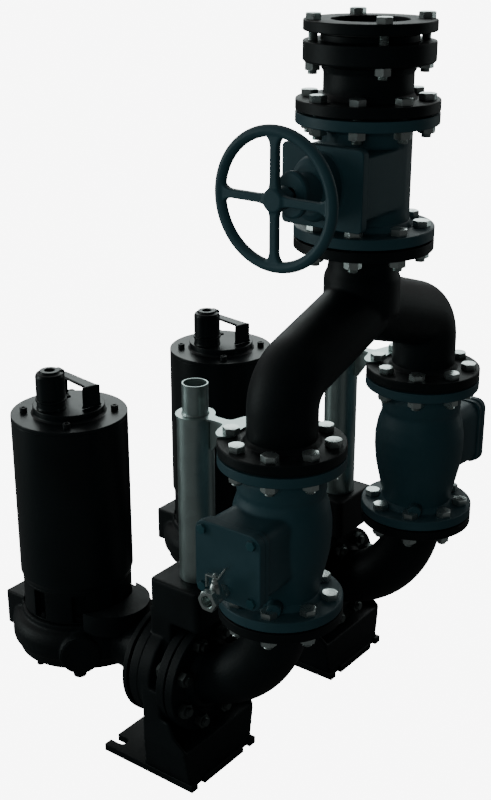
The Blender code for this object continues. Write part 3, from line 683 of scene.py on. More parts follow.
def placing_tree():
    """Node tree that sets a fastener on each point, each turned a little differently."""
    tree = bpy.data.node_groups.new("fasteners_on_points", "GeometryNodeTree")
    face = tree.interface
    face.new_socket("Geometry", in_out="INPUT", socket_type="NodeSocketGeometry")
    face.new_socket("Fastener", in_out="INPUT", socket_type="NodeSocketObject")
    face.new_socket("Most turn", in_out="INPUT", socket_type="NodeSocketFloat")
    face.new_socket("Seed", in_out="INPUT", socket_type="NodeSocketInt")
    face.new_socket("Finish", in_out="INPUT", socket_type="NodeSocketMaterial")
    face.new_socket("Geometry", in_out="OUTPUT", socket_type="NodeSocketGeometry")
    nodes, links = tree.nodes, tree.links
    start = nodes.new("NodeGroupInput")
    model = nodes.new("GeometryNodeObjectInfo")
    chance = nodes.new("FunctionNodeRandomValue")
    chance.data_type = "FLOAT"
    turn = nodes.new("ShaderNodeCombineXYZ")
    spin = nodes.new("FunctionNodeEulerToRotation")
    scatter = nodes.new("GeometryNodeInstanceOnPoints")
    solid = nodes.new("GeometryNodeRealizeInstances")
    finish = nodes.new("GeometryNodeSetMaterial")
    end = nodes.new("NodeGroupOutput")
    links.new(start.outputs["Fastener"], model.inputs["Object"])
    floats = [socket for socket in chance.inputs if socket.enabled and socket.type == "VALUE"]
    floats[0].default_value = 0.0
    links.new(start.outputs["Most turn"], floats[1])
    links.new(start.outputs["Seed"], chance.inputs["Seed"])
    value = [socket for socket in chance.outputs if socket.enabled][0]
    links.new(value, turn.inputs["Z"])
    links.new(turn.outputs[0], spin.inputs[0])
    links.new(start.outputs["Geometry"], scatter.inputs["Points"])
    links.new(model.outputs["Geometry"], scatter.inputs["Instance"])
    links.new(spin.outputs[0], scatter.inputs["Rotation"])
    links.new(scatter.outputs[0], solid.inputs[0])
    links.new(solid.outputs[0], finish.inputs["Geometry"])
    links.new(start.outputs["Finish"], finish.inputs["Material"])
    links.new(finish.outputs[0], end.inputs[0])
    return tree


PLACING = placing_tree()


def placed(fastener, points, seed, finish):
    """A mesh of the fastener at each point, made by the node tree."""
    model = held(fastener, "fastener")
    spots = bpy.data.meshes.new("spots")
    spots.from_pydata([tuple(point) for point in points], [], [])
    body = held(spots)
    change = body.modifiers.new("places", "NODES")
    change.node_group = PLACING
    given = {"Fastener": model, "Most turn": 1.0, "Seed": seed, "Finish": finish}
    for item in PLACING.interface.items_tree:
        if item.in_out == "INPUT" and item.name in given:
            change[item.identifier] = given[item.name]
    mesh = evaluated(body)
    bpy.data.objects.remove(model, do_unlink=True)
    return mesh


def circle(count, radius, first=0.5):
    """Points evenly round a circle; first is the share of one step before the first point."""
    angles = [2 * math.pi * (k + first) / count for k in range(count)]
    return [(radius * math.cos(a), radius * math.sin(a), 0.0) for a in angles]


def bolts(name, fastener, points, place, seed, body="base", finish=ZINC_BOLT):
    """One ring or row of fasteners as a piece; place takes it from its own frame to the object's."""
    mesh = placed(fastener, points, seed, finish)
    mesh.transform(place)
    return piece(name, mesh, finish, body)


def shift(x, y, z):
    return Matrix.Translation((x, y, z))


# The axis of a fastener's own frame, turned from +Z to each way it may look.
FACES_X = Matrix.Rotation(math.pi / 2, 4, "Y")
FACES_LESS_X = Matrix.Rotation(-math.pi / 2, 4, "Y")
FACES_LESS_Y = Matrix.Rotation(math.pi / 2, 4, "X")
FACES_Y = Matrix.Rotation(-math.pi / 2, 4, "X")
FACES_DOWN = Matrix.Rotation(math.pi, 4, "X")


def foot(unit, y):
    """Base plate, flared body and column as one casting, with machined flanges and plate."""
    def slot_cutter(edge, inward, centre):
        tip = edge + inward * (SLOT_DEPTH - SLOT_R)
        line = [(edge - inward * 0.01, centre - SLOT_R)]
        line += [(tip + inward * SLOT_R * math.cos(math.pi * (k / 12 - 0.5)),
                  centre + SLOT_R * math.sin(math.pi * (k / 12 - 0.5))) for k in range(13)]
        return prism(line + [(edge - inward * 0.01, centre + SLOT_R)], "Z", -0.01, BASE_T + 0.01)

    slots = [slot_cutter(edge, inward, y + side * SLOT_Y)
             for edge, inward in ((BASE_X0, 1), (BASE_X1, -1)) for side in (-1, 1)]
    plate = bevelled(cut(block(BASE_X0, BASE_X1, y - BASE_HALF, y + BASE_HALF, 0, BASE_T), *slots), 0.0013)
    flare = hull([(x, y + side * half, z) for side in (-1, 1)
                  for z, half, x in ((0.004, 0.0855, -0.2240), (0.004, 0.0855, -0.1235),
                                     (WAIST_Z, INLET_HEAD_R, -0.2170), (WAIST_Z, INLET_HEAD_R, -0.1250))])
    toe = hull([(x, y + side * half, z) for side in (-1, 1)
                for z, half, x in ((0.004, 0.0880, -0.2300), (0.004, 0.0880, -0.1190),
                                   (0.020, 0.0850, -0.2240),
                                   (0.020, 0.0850, -0.1235))])
    waist = block(-0.2165, OUTLET_X - 0.012, y - INLET_HEAD_R, y + INLET_HEAD_R, WAIST_Z - 0.006, INLET_Z)
    cheek_line = [(-0.180, WAIST_Z - 0.006), (-0.1256, WAIST_Z - 0.006), (-0.1256, WAIST_Z + 0.003),
                  (-0.149, 0.098), (-0.160, 0.126), (-0.180, 0.128)]
    cheeks = [prism(cheek_line, "Y", *sorted((y + side * 0.0900, y + side * INLET_HEAD_R)))
              for side in (-1, 1)]
    column = block(HEAD_X0, -0.186, y - HEAD_HALF, y + HEAD_HALF, INLET_Z, HEAD_Z0 + 0.02)
    web = hull([(x, y + side * 0.007, z) for side in (-1, 1)
                for x, z in ((-0.190, 0.255), (-0.190, 0.300), (-0.134, 0.300), (-0.134, 0.292))])
    head = prism(rounded((HEAD_X1 - HEAD_X0) / 2, HEAD_HALF, 0.008, ((HEAD_X0 + HEAD_X1) / 2, y), 4), "Z",
                 HEAD_Z0, HEAD_Z1)
    drum = turned([(0, INLET_X + 0.006), (INLET_HEAD_R - 0.0008, INLET_X + 0.006),
                   (INLET_HEAD_R - 0.0008, INLET_X + INLET_HEAD_T), (0.070, INLET_X + INLET_HEAD_T + 0.004),
                   (0.070, OUTLET_X - 0.016), (0, OUTLET_X - 0.016)], (0, y, INLET_Z), "X", 64)
    bore = rod((INLET_X - 0.01, y, INLET_Z), (OUTLET_X + 0.01, y, INLET_Z), LEG_BORE_R)
    body = cast(cut(union(flare, toe, waist, *cheeks, column, web, head, drum), bore), 5)
    inlet = turned([(LEG_BORE_R, INLET_X), (0.066, INLET_X, 0.0006), (0.066, INLET_X + 0.0012, 0.0006),
                    (0.070, INLET_X + 0.0012, 0.0006), (0.070, INLET_X, 0.0006),
                    (INLET_HEAD_R, INLET_X, 0.003),
                    (INLET_HEAD_R, INLET_X + 0.020, 0.003), (LEG_BORE_R, INLET_X + 0.020)], (0, y, INLET_Z),
                   "X")
    outlet = flange(OUTLET_X, -1, LEG_FLANGE_R, LEG_FACE_R, LEG_BORE_R, 0.076, 0.070, (0, y, INLET_Z), "X",
                    0.006)
    spigot = turned([(0, HEAD_Z1 - 0.004), (TUBE_R - TUBE_WALL - 0.0007, HEAD_Z1 - 0.004),
                     (TUBE_R - TUBE_WALL - 0.0007, HEAD_Z1 + 0.025, 0.003), (0, HEAD_Z1 + 0.025)],
                    (TUBE_X, y, 0))
    piece(unit + "_foot_casting", together(plate, body, inlet, outlet, spigot), BLACK_CASTING, "base",
          [unit + "_foot"])


def bend(unit, y):
    """Long-radius bend between the foot and the check valve."""
    def arc(radius, extra):
        centre_z = INLET_Z + BEND_R
        points = [(0, y, BEND_JOINT_Z + extra - 0.006)]
        for step in range(19):
            angle = math.radians(76) * step / 18
            points.append((-BEND_R + BEND_R * math.cos(angle), y, centre_z - BEND_R * math.sin(angle)))
        return swept(points + [(OUTLET_X + 0.020, y, INLET_Z + 0.001),
                               (OUTLET_X + 0.006 - extra, y, INLET_Z + 0.001)],
                     radius, (0, 1, 0), 64)

    top = turned([(0, BEND_JOINT_Z - SEAT + 0.004), (0.063, BEND_JOINT_Z - SEAT + 0.004),
                  (0.061, BEND_JOINT_Z - 0.024),
                  (0.054, BEND_JOINT_Z - 0.034), (0.045, BEND_JOINT_Z - 0.036), (0, BEND_JOINT_Z - 0.036)],
                 (0, y, 0))
    side = turned([(0, OUTLET_X + SEAT - 0.004), (0.060, OUTLET_X + SEAT - 0.004),
                   (0.058, OUTLET_X + 0.023),
                   (0.045, OUTLET_X + 0.029), (0, OUTLET_X + 0.029)], (0, y, INLET_Z), "X")
    body = cast(cut(union(arc(BEND_PIPE_R, 0), top, side), arc(LEG_BORE_R, 0.02)), 5)
    rims = [flange(BEND_JOINT_Z, -1, LEG_FLANGE_R, LEG_FACE_R, LEG_BORE_R, 0.066, 0.058, (0, y, 0)),
            flange(OUTLET_X, 1, LEG_FLANGE_R, LEG_FACE_R, LEG_BORE_R, 0.062, 0.055, (0, y, INLET_Z), "X")]
    piece(unit + "_bend_casting", together(body, *rims), BLACK_CASTING, "base",
          [unit + "_bend"])


def check_valve(unit, y, side):
    """Barrel with a ball chamber on its outer side, and the chamber's own flange."""
    low, high = BEND_JOINT_Z, YOKE_JOINT_Z
    reach = y + side * CHAMBER_REACH
    barrel = turned([(0, low + 0.014), (0.066, low + 0.014), (0.062, low + 0.023, 0.006),
                     (0.064, low + 0.040, 0.02),
                     (0.070, 0.440, 0.03), (0.0765, 0.470, 0.03), (BALL_R, 0.500, 0.03),
                     (BALL_R, 0.524, 0.03),
                     (0.0755, 0.548, 0.03), (0.0690, 0.568, 0.02), (0.0665, 0.590, 0.01),
                     (0.0665, high - 0.014),
                     (0, high - 0.014)], (0, y, 0), "Z", ROUND, 0.01)
    collar = turned([(0, 0.572), (0.0690, 0.572), (0.0705, 0.578, 0.003), (0.0705, 0.598, 0.003),
                     (0.068, 0.604),
                     (0, 0.604)], (0, y, 0))
    near = rounded(CHAMBER_HALF - 0.002, CHAMBER_HALF_Z - 0.002, 0.020, (0, CHAMBER_Z), 6)
    deep = rounded(CHAMBER_HALF - 0.005, CHAMBER_HALF_Z - 0.005, 0.020, (0, CHAMBER_Z + 0.004), 6)
    chamber = hull([(a, reach - side * 0.002, b) for a, b in near] + [(a, y, b) for a, b in deep])
    bore = rod((0, y, low - 0.02), (0, y, high + 0.02), LEG_BORE_R)
    body = cast(cut(union(barrel, collar, chamber), bore), 7)
    band = bevelled(prism(rounded(CHAMBER_HALF, CHAMBER_HALF_Z, 0.017, (0, CHAMBER_Z), 8), "Y",
                          *sorted((reach, reach - side * 0.010))), 0.0012)
    boss = turned([(0, 0.060), (0.0125, 0.060), (0.0115, 0.0815, 0.002), (0, 0.0815)], (0, 0, 0))
    boss.transform(shift(0, y, 0.402) @ Matrix.Rotation(math.radians(-62), 4, "Z") @ FACES_X)
    boss = cast(boss, 2, 0.0016)
    rims = [flange(low, 1, LEG_FLANGE_R, LEG_FACE_R, LEG_BORE_R, 0.069, 0.062, (0, y, 0)),
            flange(high, -1, LEG_FLANGE_R, LEG_FACE_R, LEG_BORE_R, 0.072, 0.067, (0, y, 0))]
    piece(unit + "_check_valve_casting", together(body, band, boss, *rims), PETROL_CASTING, "base",
          [unit + "_check_valve_body"])

    near_y = reach + side * GAP
    plate = prism(rounded(CHAMBER_HALF + 0.001, CHAMBER_HALF_Z + 0.002, 0.018, (0, CHAMBER_Z), 10), "Y",
                  *sorted((near_y, near_y + side * COVER_T)))
    piece(unit + "_check_valve_lid", bevelled(plate, 0.0022, 4), PETROL_CASTING, "base",
          [unit + "_check_valve_cover"])
    lid = near_y + side * COVER_T
    corners = [(a, b, 0) for a in (-0.046, 0.046) for b in (-0.048, 0.048)]
    facing = FACES_LESS_Y if side < 0 else FACES_Y
    bolts(unit + "_lid_screws", hex_screw(0.0095, 0.0055), corners, shift(0, lid, CHAMBER_Z + GAP) @ facing,
          7, "base", PETROL_BOLT)
    return lid


def drain_cock(unit, lid, side):
    """Small ball cock screwed into the cover: tail, ball body, hexagonal outlet and stem bell."""
    facing = FACES_LESS_Y if side < 0 else FACES_Y
    body = turned([(0, 0), (0.0100, 0), (0.0100, 0.0100, 0.001), (0.0112, 0.0125, 0.002),
                   (0.0120, 0.0200, 0.006),
                   (0.0120, 0.0260, 0.006), (0.0115, 0.0330, 0.002), (DRAIN_BORE_R, 0.0330),
                   (DRAIN_BORE_R, 0.0250),
                   (0, 0.0250)], steps=48, ease=0.0008)
    tail = hex_solid(0.0195, 0.0020, 0.0085, True, True)
    nut = cut(hex_solid(DRAIN_HEX_R * math.sqrt(3), 0.0320, DRAIN_LENGTH, True, True),
              rod((0, 0, 0.025), (0, 0, 0.05), DRAIN_BORE_R))
    ridges = thread(DRAIN_BORE_R + 0.0004, 0.0300, DRAIN_LENGTH - 0.002, 0.0012)
    ridges = cut(ridges, rod((0, 0, 0.020), (0, 0, 0.05), DRAIN_BORE_R - 0.0012))
    whole = together(body, tail, nut, ridges)
    whole.transform(shift(DRAIN_X, lid + side * GAP, DRAIN_Z) @ facing)
    bell = turned([(0, 0), (0.0098, 0), (0.0095, 0.0130, 0.003), (0.0085, 0.0180, 0.004),
                   (0.0062, 0.0225, 0.003),
                   (0.0056, 0.0270, 0.001), (0.0044, 0.0280, 0.001), (0.0044, 0.0308), (0, 0.0308)],
                  steps=40, ease=0.0006)
    bell.transform(shift(DRAIN_X, lid + side * (DRAIN_STEM + GAP), DRAIN_Z))
    piece(unit + "_drain_cock_body", together(whole, bell), ZINC_BOLT, "base",
          [unit + "_drain_cock"])

    middle = lid + side * (DRAIN_STEM + GAP)
    outline = [(-0.0166, -0.0190), (-0.0142, -0.0190), (-0.0142, -0.0008), (-0.0134, 0), (0.0070, 0),
               (0.0084, 0.0008),
               (0.0218, 0.0218), (0.0198, 0.0236), (0.0070, 0.0034), (0.0056, 0.0024), (-0.0154, 0.0024),
               (-0.0166, 0.0012)]
    bar = bevelled(prism([(DRAIN_X + a, LEVER_Z + b) for a, b in outline], "Y", middle - 0.0036,
                         middle + 0.0036), 0.0006, 2)
    nut = hex_solid(0.0090, 0.0022, 0.0060)
    nut.transform(shift(DRAIN_X, middle, LEVER_Z) @ Matrix.Rotation(0.3, 4, "Z"))
    tip = thread(0.0026, 0.0055, 0.0080, 0.0008)
    tip.transform(shift(DRAIN_X, middle, LEVER_Z))
    piece(unit + "_drain_lever_bar", together(bar, nut, tip), ZINC_BOLT, unit + "_lever",
          [unit + "_drain_lever"])


def guide_parts(unit, y):
    """Guide tube, the arm that holds its top, and the stub that carries the next rail."""
    inner = TUBE_R - TUBE_WALL
    top = ARM_LOW - 0.0006
    tube = turned([(inner, HEAD_Z1 + 0.0004), (TUBE_R, HEAD_Z1 + 0.0004), (TUBE_R, top), (inner, top)],
                  (TUBE_X, y, 0), ease=0.0006)
    piece(unit + "_guide_tube_pipe", tube, ZINC_TUBE, "base", [unit + "_guide_tube"])

    high = ARM_LOW + ARM_T
    fork = [(-0.0704, 0.0150), (-0.0675, 0.0245), (-0.0655, 0.0320), (-0.0655, 0.0370), (-0.0682, 0.0425),
            (-0.0735, 0.0485), (-0.0790, 0.0520), (-0.0845, 0.0525), (-0.0905, 0.0480), (-0.0960, 0.0417),
            (-0.0996, 0.0324), (-0.1028, 0.0200), (-0.1050, 0.0130), (-0.1085, 0.0095), (-0.1150, 0.0083),
            (-0.1300, 0.0082), (-0.1365, 0.0098)]
    outline = [(-0.0720, 0.0)] + [(a, -b) for a, b in fork]
    outline += [(TUBE_X + 0.0322 * math.cos(a), 0.0322 * math.sin(a))
                for a in (math.radians(-20 - 320 * k / 40) for k in range(41))]
    outline += reversed(fork)
    arm = prism([(a, y + b) for a, b in outline], "Z", ARM_LOW, high)
    bolt_x = -LEG_BOLT_CIRCLE_R * math.cos(math.pi / 8)
    holes = [rod((bolt_x, y + way * LEG_BOLT_CIRCLE_R * math.sin(math.pi / 8), ARM_LOW - 0.05),
                 (bolt_x, y + way * LEG_BOLT_CIRCLE_R * math.sin(math.pi / 8), high + 0.05), 0.0088)
             for way in (-1, 1)]
    arm = bevelled(cut(arm, *holes, rod((TUBE_X, y, 0.5), (TUBE_X, y, 0.8), 0.0150)), 0.0008, 2)
    plug = turned([(0.0150, ARM_LOW - 0.030), (inner - 0.0006, ARM_LOW - 0.030),
                   (inner - 0.0006, ARM_LOW + 0.001),
                   (0.0150, ARM_LOW + 0.001)], (TUBE_X, y, 0), steps=48)
    rib = bevelled(prism([(-0.1385, ARM_LOW - 0.052), (-0.134, ARM_LOW - 0.052), (-0.1035, ARM_LOW - 0.006),
                          (-0.1035, ARM_LOW + 0.001), (-0.1385, ARM_LOW + 0.001)], "Y", y - 0.003,
                         y + 0.003), 0.0006, 2)
    piece(unit + "_guide_bracket_arm", together(arm, plug, rib), ZINC_TUBE, "base",
          [unit + "_guide_bracket"])
    low = high + GAP
    stub = turned([(0.0187, low), (0.0228, low), (0.0222, low + 0.0012, 0.001),
                   (STUB_R, low + 0.0026, 0.001),
                   (STUB_R, STUB_TOP, 0.0006), (0.0187, STUB_TOP, 0.0006)], (TUBE_X, y, 0))
    piece(unit + "_guide_stub_pipe", stub, ZINC_TUBE, "base", [unit + "_guide_stub"])


def volute(unit, y):
    """Spiral casing with its discharge neck, square lug, side boss and pressed flange."""
    steps = 96
    profile = [(-0.100, 0.149), (-0.100, VOLUTE_Z0 + 0.006), (-0.022, VOLUTE_Z0 + 0.006),
               (-0.022, VOLUTE_Z0),
               (-0.012, VOLUTE_Z0), (-0.0105, VOLUTE_Z0 + 0.002), (-0.0105, 0.153), (-0.007, 0.158),
               (-0.0015, 0.163), (0.0, 0.169), (0.0, 0.190), (-0.003, 0.199), (-0.009, 0.2065),
               (-0.017, SHOULDER_Z),
               (CASING_RIM_R - VOLUTE_R, SHOULDER_Z), (CASING_RIM_R - VOLUTE_R, VOLUTE_Z1),
               (-0.100, VOLUTE_Z1)]
    shape = bmesh.new()
    rings = []
    for offset, height in profile:
        ring = []
        for step in range(steps):
            angle = 2 * math.pi * step / steps
            swell = 0.020 * max(0.0, math.cos(angle - math.radians(25))) ** 2 if offset > -0.0185 else 0.0
            radius = VOLUTE_R + swell + offset
            ring.append(shape.verts.new((PUMP_X + radius * math.cos(angle), y + radius * math.sin(angle),
                                         height)))
        rings.append(ring)
    for here, after in zip(rings, rings[1:]):
        for step in range(steps):
            onward = (step + 1) % steps
            shape.faces.new((here[step], here[onward], after[onward], after[step]))
    shape.faces.new(rings[0])
    shape.faces.new(rings[-1])
    bowl = meshed(shape)
    lug = prism(rounded(LUG_REACH / 2, LUG_HALF, 0.004, (PUMP_X - LUG_REACH / 2, y), 3), "Z", LUG_Z0,
                LUG_Z1)
    face = INLET_X - 0.0018
    neck = turned([(0, PUMP_X + 0.03), (0.040, PUMP_X + 0.03), (0.044, PUMP_X + 0.09),
                   (0.052, face - 0.030),
                   (0.060, face - 0.0120), (0.060, face - 0.006), (0, face - 0.006)], (0, y, INLET_Z), "X")
    centre = Vector((PUMP_X, y, BOSS_Z))
    boss = rod(centre + BOSS_WAY * 0.085, centre + BOSS_WAY * BOSS_REACH, BOSS_R, steps=64)
    trim = rod((PUMP_X, y, VOLUTE_Z1), (PUMP_X, y, LUG_Z1 + 0.05), CHAMBER_R + 0.0009, steps=steps)
    below = rod((PUMP_X, y, VOLUTE_Z0 - 0.05), (PUMP_X, y, VOLUTE_Z0 + 0.006), CHAMBER_R + 0.0009,
                steps=steps)
    hollow = rod((PUMP_X, y, VOLUTE_Z0 - 0.01), (PUMP_X, y, 0.185), SUCTION_R, steps=64)
    body = cast(cut(union(bowl, lug, neck, boss), trim, below, hollow), 3, 0.0021)
    disc = turned([(0.034, face), (0.066, face, 0.0006), (0.0665, face - 0.0005),
                   (LEG_FLANGE_R - 0.0008, face - 0.0005, 0.0008),
                   (LEG_FLANGE_R, face - 0.0012), (LEG_FLANGE_R, face - 0.0105, 0.0015),
                   (0.066, face - 0.0115, 0.003),
                   (0.056, face - 0.020), (0.034, face - 0.020)], (0, y, INLET_Z), "X")
    rim = [centre + BOSS_WAY * (BOSS_REACH - 0.0045), centre + BOSS_WAY * (BOSS_REACH + 0.0006)]
    cap = bevelled(rod(rim[0], rim[1], BOSS_R - 0.003, steps=64), 0.0014)
    piece(unit + "_volute_casting", together(body, disc, cap), BLACK_CASTING, unit + "_pump",
          [unit + "_pump_casing"])

    claw = rod((CLAW_X, y, SHOULDER_Z + GAP), (CLAW_X, y, CLAW_Z1), CLAW_R, steps=96)
    room = rod((PUMP_X, y, 0.1), (PUMP_X, y, 0.4), CASING_RIM_R + 0.0015, steps=96)
    notch = rod((PUMP_X, y, INLET_Z), (INLET_X, y, INLET_Z), 0.0535, steps=64)
    side = rod(centre, centre + BOSS_WAY * 0.2, BOSS_R + 0.002, steps=64)
    piece(unit + "_claw_casting", bevelled(cut(claw, room, notch, side), 0.0016), BLACK_CASTING,
          unit + "_pump",
          [unit + "_pump_claw"])

    top = VOLUTE_Z0 + 0.0057
    plate = turned([(SUCTION_R, top), (SUCTION_R, 0.1335, 0.002), (SUCTION_R + 0.004, 0.1320),
                    (0.094, 0.1320, 0.003),
                    (0.0985, 0.1365, 0.003), (0.0985, top)], (PUMP_X, y, 0))
    way = math.radians(-48)
    stub_x, stub_y = PUMP_X + 0.085 * math.cos(way), y + 0.085 * math.sin(way)
    stub = turned([(0, 0.138), (0.0125, 0.138), (0.0120, 0.113, 0.0025), (0, 0.113)], (stub_x, stub_y, 0),
                  steps=48)
    piece(unit + "_suction_cover", together(plate, stub), BLACK_CASTING, unit + "_pump",
          [unit + "_suction_plate"])
    ring = circle(8, 0.104, 0.0)
    bolts(unit + "_casing_screws", hex_screw(0.0080, 0.0060), ring,
          shift(PUMP_X, y, VOLUTE_Z0 + GAP) @ FACES_DOWN,
          21, unit + "_pump", BLACK_BOLT)


def motor(unit, y):
    """Oil chamber with windows, motor jacket, top cover, cable entry and lifting handle."""
    ring = turned([(0, VOLUTE_Z1 + GAP), (CHAMBER_R - 0.002, VOLUTE_Z1 + GAP),
                   (CHAMBER_R, VOLUTE_Z1 + 0.003),
                   (CHAMBER_R, CHAMBER_TOP), (0, CHAMBER_TOP)], (PUMP_X, y, 0), ease=0.001)
    windows = []
    for index in range(8):
        window = bevelled(block(CHAMBER_R - 0.016, CHAMBER_R + 0.02, -0.0125, 0.0125, VOLUTE_Z1 + 0.005,
                                CHAMBER_TOP - 0.004), 0.0025)
        window.transform(shift(PUMP_X, y, 0) @ Matrix.Rotation(math.pi / 4 * index, 4, "Z"))
        windows.append(window)
    piece(unit + "_oil_chamber_ring", bevelled(cut(ring, *windows), 0.0008, 2, 40), BLACK_CASTING,
          unit + "_pump",
          [unit + "_oil_chamber"])
    points = circle(8, CHAMBER_R * 0.885, 0.0)
    bolts(unit + "_motor_screws", hex_screw(0.0080, 0.0060, True), points,
          shift(PUMP_X, y, VOLUTE_Z1 + 0.0052), 31,
          unit + "_pump", BLACK_BOLT)

    jacket = turned([(0.074, CHAMBER_TOP + GAP), (CHAMBER_R, CHAMBER_TOP + GAP, 0.0010),
                     (CHAMBER_R + 0.0006, CHAMBER_TOP + 0.005, 0.003),
                     (MOTOR_R, CHAMBER_TOP + 0.012, 0.004),
                     (MOTOR_R, MOTOR_TOP), (0.074, MOTOR_TOP)], (PUMP_X, y, 0), steps=128, ease=0.0006)
    piece(unit + "_motor_jacket", jacket, BLACK_SHEET, unit + "_pump",
          [unit + "_motor_housing"])
    lid = turned([(0, MOTOR_TOP + GAP), (MOTOR_R, MOTOR_TOP + GAP, 0.0004), (MOTOR_R, COVER_TOP, 0.0016),
                  (LID_BOSS_R + 0.0030, COVER_TOP, 0.0025), (LID_BOSS_R, COVER_TOP + 0.0030, 0.0025),
                  (LID_BOSS_R, LID_BOSS_TOP, 0.0016), (0, LID_BOSS_TOP)],
                 (PUMP_X, y, 0), steps=128, ease=0.0008)
    piece(unit + "_motor_lid", lid, BLACK_SHEET, unit + "_pump", [unit + "_motor_cover"])

    base = LID_BOSS_TOP + GAP
    x0, y0 = PUMP_X + ENTRY_X, y + ENTRY_Y
    tower = turned([(0, base), (0.0262, base), (0.0256, base + 0.002, 0.001), (0.0250, 0.6110, 0.001),
                    (0.0250, 0.6190, 0.0008),
                    (0.0242, 0.6196, 0.0006), (0.0242, 0.6202, 0.0006), (0.0268, 0.6206, 0.0010),
                    (0.0268, 0.6244, 0.0010),
                    (0.0240, 0.6250, 0.0006), (0.0240, 0.6258, 0.0006), (0.0252, 0.6266, 0.0008),
                    (0.0252, 0.6655, 0.0030),
                    (0.0232, 0.6700, 0.0015), (0.0190, 0.6712, 0.0010), (0.0180, 0.6720, 0.0008),
                    (0.0174, ENTRY_TOP, 0.0016),
                    (0.0092, ENTRY_TOP, 0.0012), (0.0085, ENTRY_TOP - 0.004), (0.0085, ENTRY_TOP - 0.020),
                    (0, ENTRY_TOP - 0.020)], (x0, y0, 0), steps=64, ease=0.0008)
    tab = bevelled(block(0.018, 0.034, -0.0050, 0.0050, 0.6205, 0.6245), 0.0012)
    tab.transform(shift(x0, y0, 0) @ Matrix.Rotation(math.radians(62), 4, "Z"))
    ear = bevelled(block(0.012, 0.0250, -0.0100, 0.0100, 0.6640, 0.6735), 0.0030)
    ear.transform(shift(x0, y0, 0) @ Matrix.Rotation(math.radians(76), 4, "Z"))
    piece(unit + "_cable_gland", together(tower, tab, ear), BLACK_SHEET, unit + "_pump",
          [unit + "_cable_entry"])

    def near(outline):
        return [(PUMP_X + a, y + b) for a, b in outline]

    low = HANDLE_Z - HANDLE_T
    legs = [prism(near(leg), "Z", base, HANDLE_Z - 0.001) for leg in (HANDLE_NEAR, HANDLE_FAR)]
    feet = []
    for leg in (HANDLE_NEAR, HANDLE_FAR):
        middle = Vector((sum(a for a, b in leg) / 4, sum(b for a, b in leg) / 4))
        foot_line = [tuple(middle + (Vector(point) - middle) * 1.12) for point in leg]
        feet.append(hull([(*p, z) for p, z in zip(near(foot_line) * 2, [base] * 4 + [base + 0.003] * 4)]))
    strap = [HANDLE_FAR[3], (0.0400, 0.0003), HANDLE_NEAR[0], HANDLE_NEAR[1], (0.0470, 0.0235), HANDLE_FAR[2]]
    handle = cast(union(prism(near(strap), "Z", low, HANDLE_Z), *legs, *feet), 5, 0.0013)
    piece(unit + "_handle_strap", handle, BLACK_SHEET, unit + "_pump",
          [unit + "_lifting_handle"])
    bolts(unit + "_lid_bolts", cap_screw(0.0065, 0.0085), circle(4, 0.0785, 0.46),
          shift(PUMP_X, y, COVER_TOP), 41,
          unit + "_pump", BLACK_BOLT)


def yoke():
    """Breeches pipe: two legs that turn in and join below one neck."""
    def leg(side, radius, extra):
        points = [(0, side * UNIT_Y, YOKE_JOINT_Z + 0.012 - extra)]
        for step in range(17):
            angle = YOKE_TILT * step / 16
            points.append((0, side * (UNIT_Y - YOKE_TURN_R * (1 - math.cos(angle))),
                           YOKE_STRAIGHT_Z - 0.006 + YOKE_TURN_R * math.sin(angle)))
        last = Vector(points[-1])
        run = (abs(last.y) + 0.012) / math.sin(YOKE_TILT)
        return swept(points + [last + run * Vector((0, -side * math.sin(YOKE_TILT), math.cos(YOKE_TILT)))],
                     radius, (1, 0, 0), 64)

    heart_z = YOKE_STRAIGHT_Z + 0.107
    low = GATE_JOINT_Z
    neck = turned([(0, low - 0.014), (YOKE_NECK_R + 0.003, low - 0.014), (YOKE_NECK_R, low - 0.030, 0.01),
                   (YOKE_NECK_R + 0.0015, low - 0.052, 0.02), (YOKE_NECK_R + 0.0075, low - 0.066, 0.01),
                   (YOKE_NECK_R + 0.0075, heart_z - 0.010), (0, heart_z - 0.010)])
    body = union(leg(-1, YOKE_PIPE_R, 0), leg(1, YOKE_PIPE_R, 0), neck)
    hollow = rod((0, 0, heart_z - 0.005), (0, 0, low + 0.02), YOKE_NECK_BORE_R)
    body = cast(cut(body, leg(-1, YOKE_LEG_BORE_R, 0.03), leg(1, YOKE_LEG_BORE_R, 0.03), hollow), 8, 0.0027)
    rims = [flange(YOKE_JOINT_Z, 1, LEG_FLANGE_R, LEG_FACE_R, LEG_BORE_R, YOKE_PIPE_R + 0.005,
                   YOKE_PIPE_R - 0.0005,
                   (0, side * UNIT_Y, 0), "Z", 0.008) for side in (-1, 1)]
    rims.append(flange(low, -1, MAIN_FLANGE_R, MAIN_FACE_R, YOKE_NECK_BORE_R, YOKE_NECK_R + 0.004,
                       YOKE_NECK_R - 0.0005,
                       (0, 0, 0), "Z", 0.010))
    piece("breeches_casting", together(body, *rims), BLACK_CASTING, "base", ["breeches_pipe"])


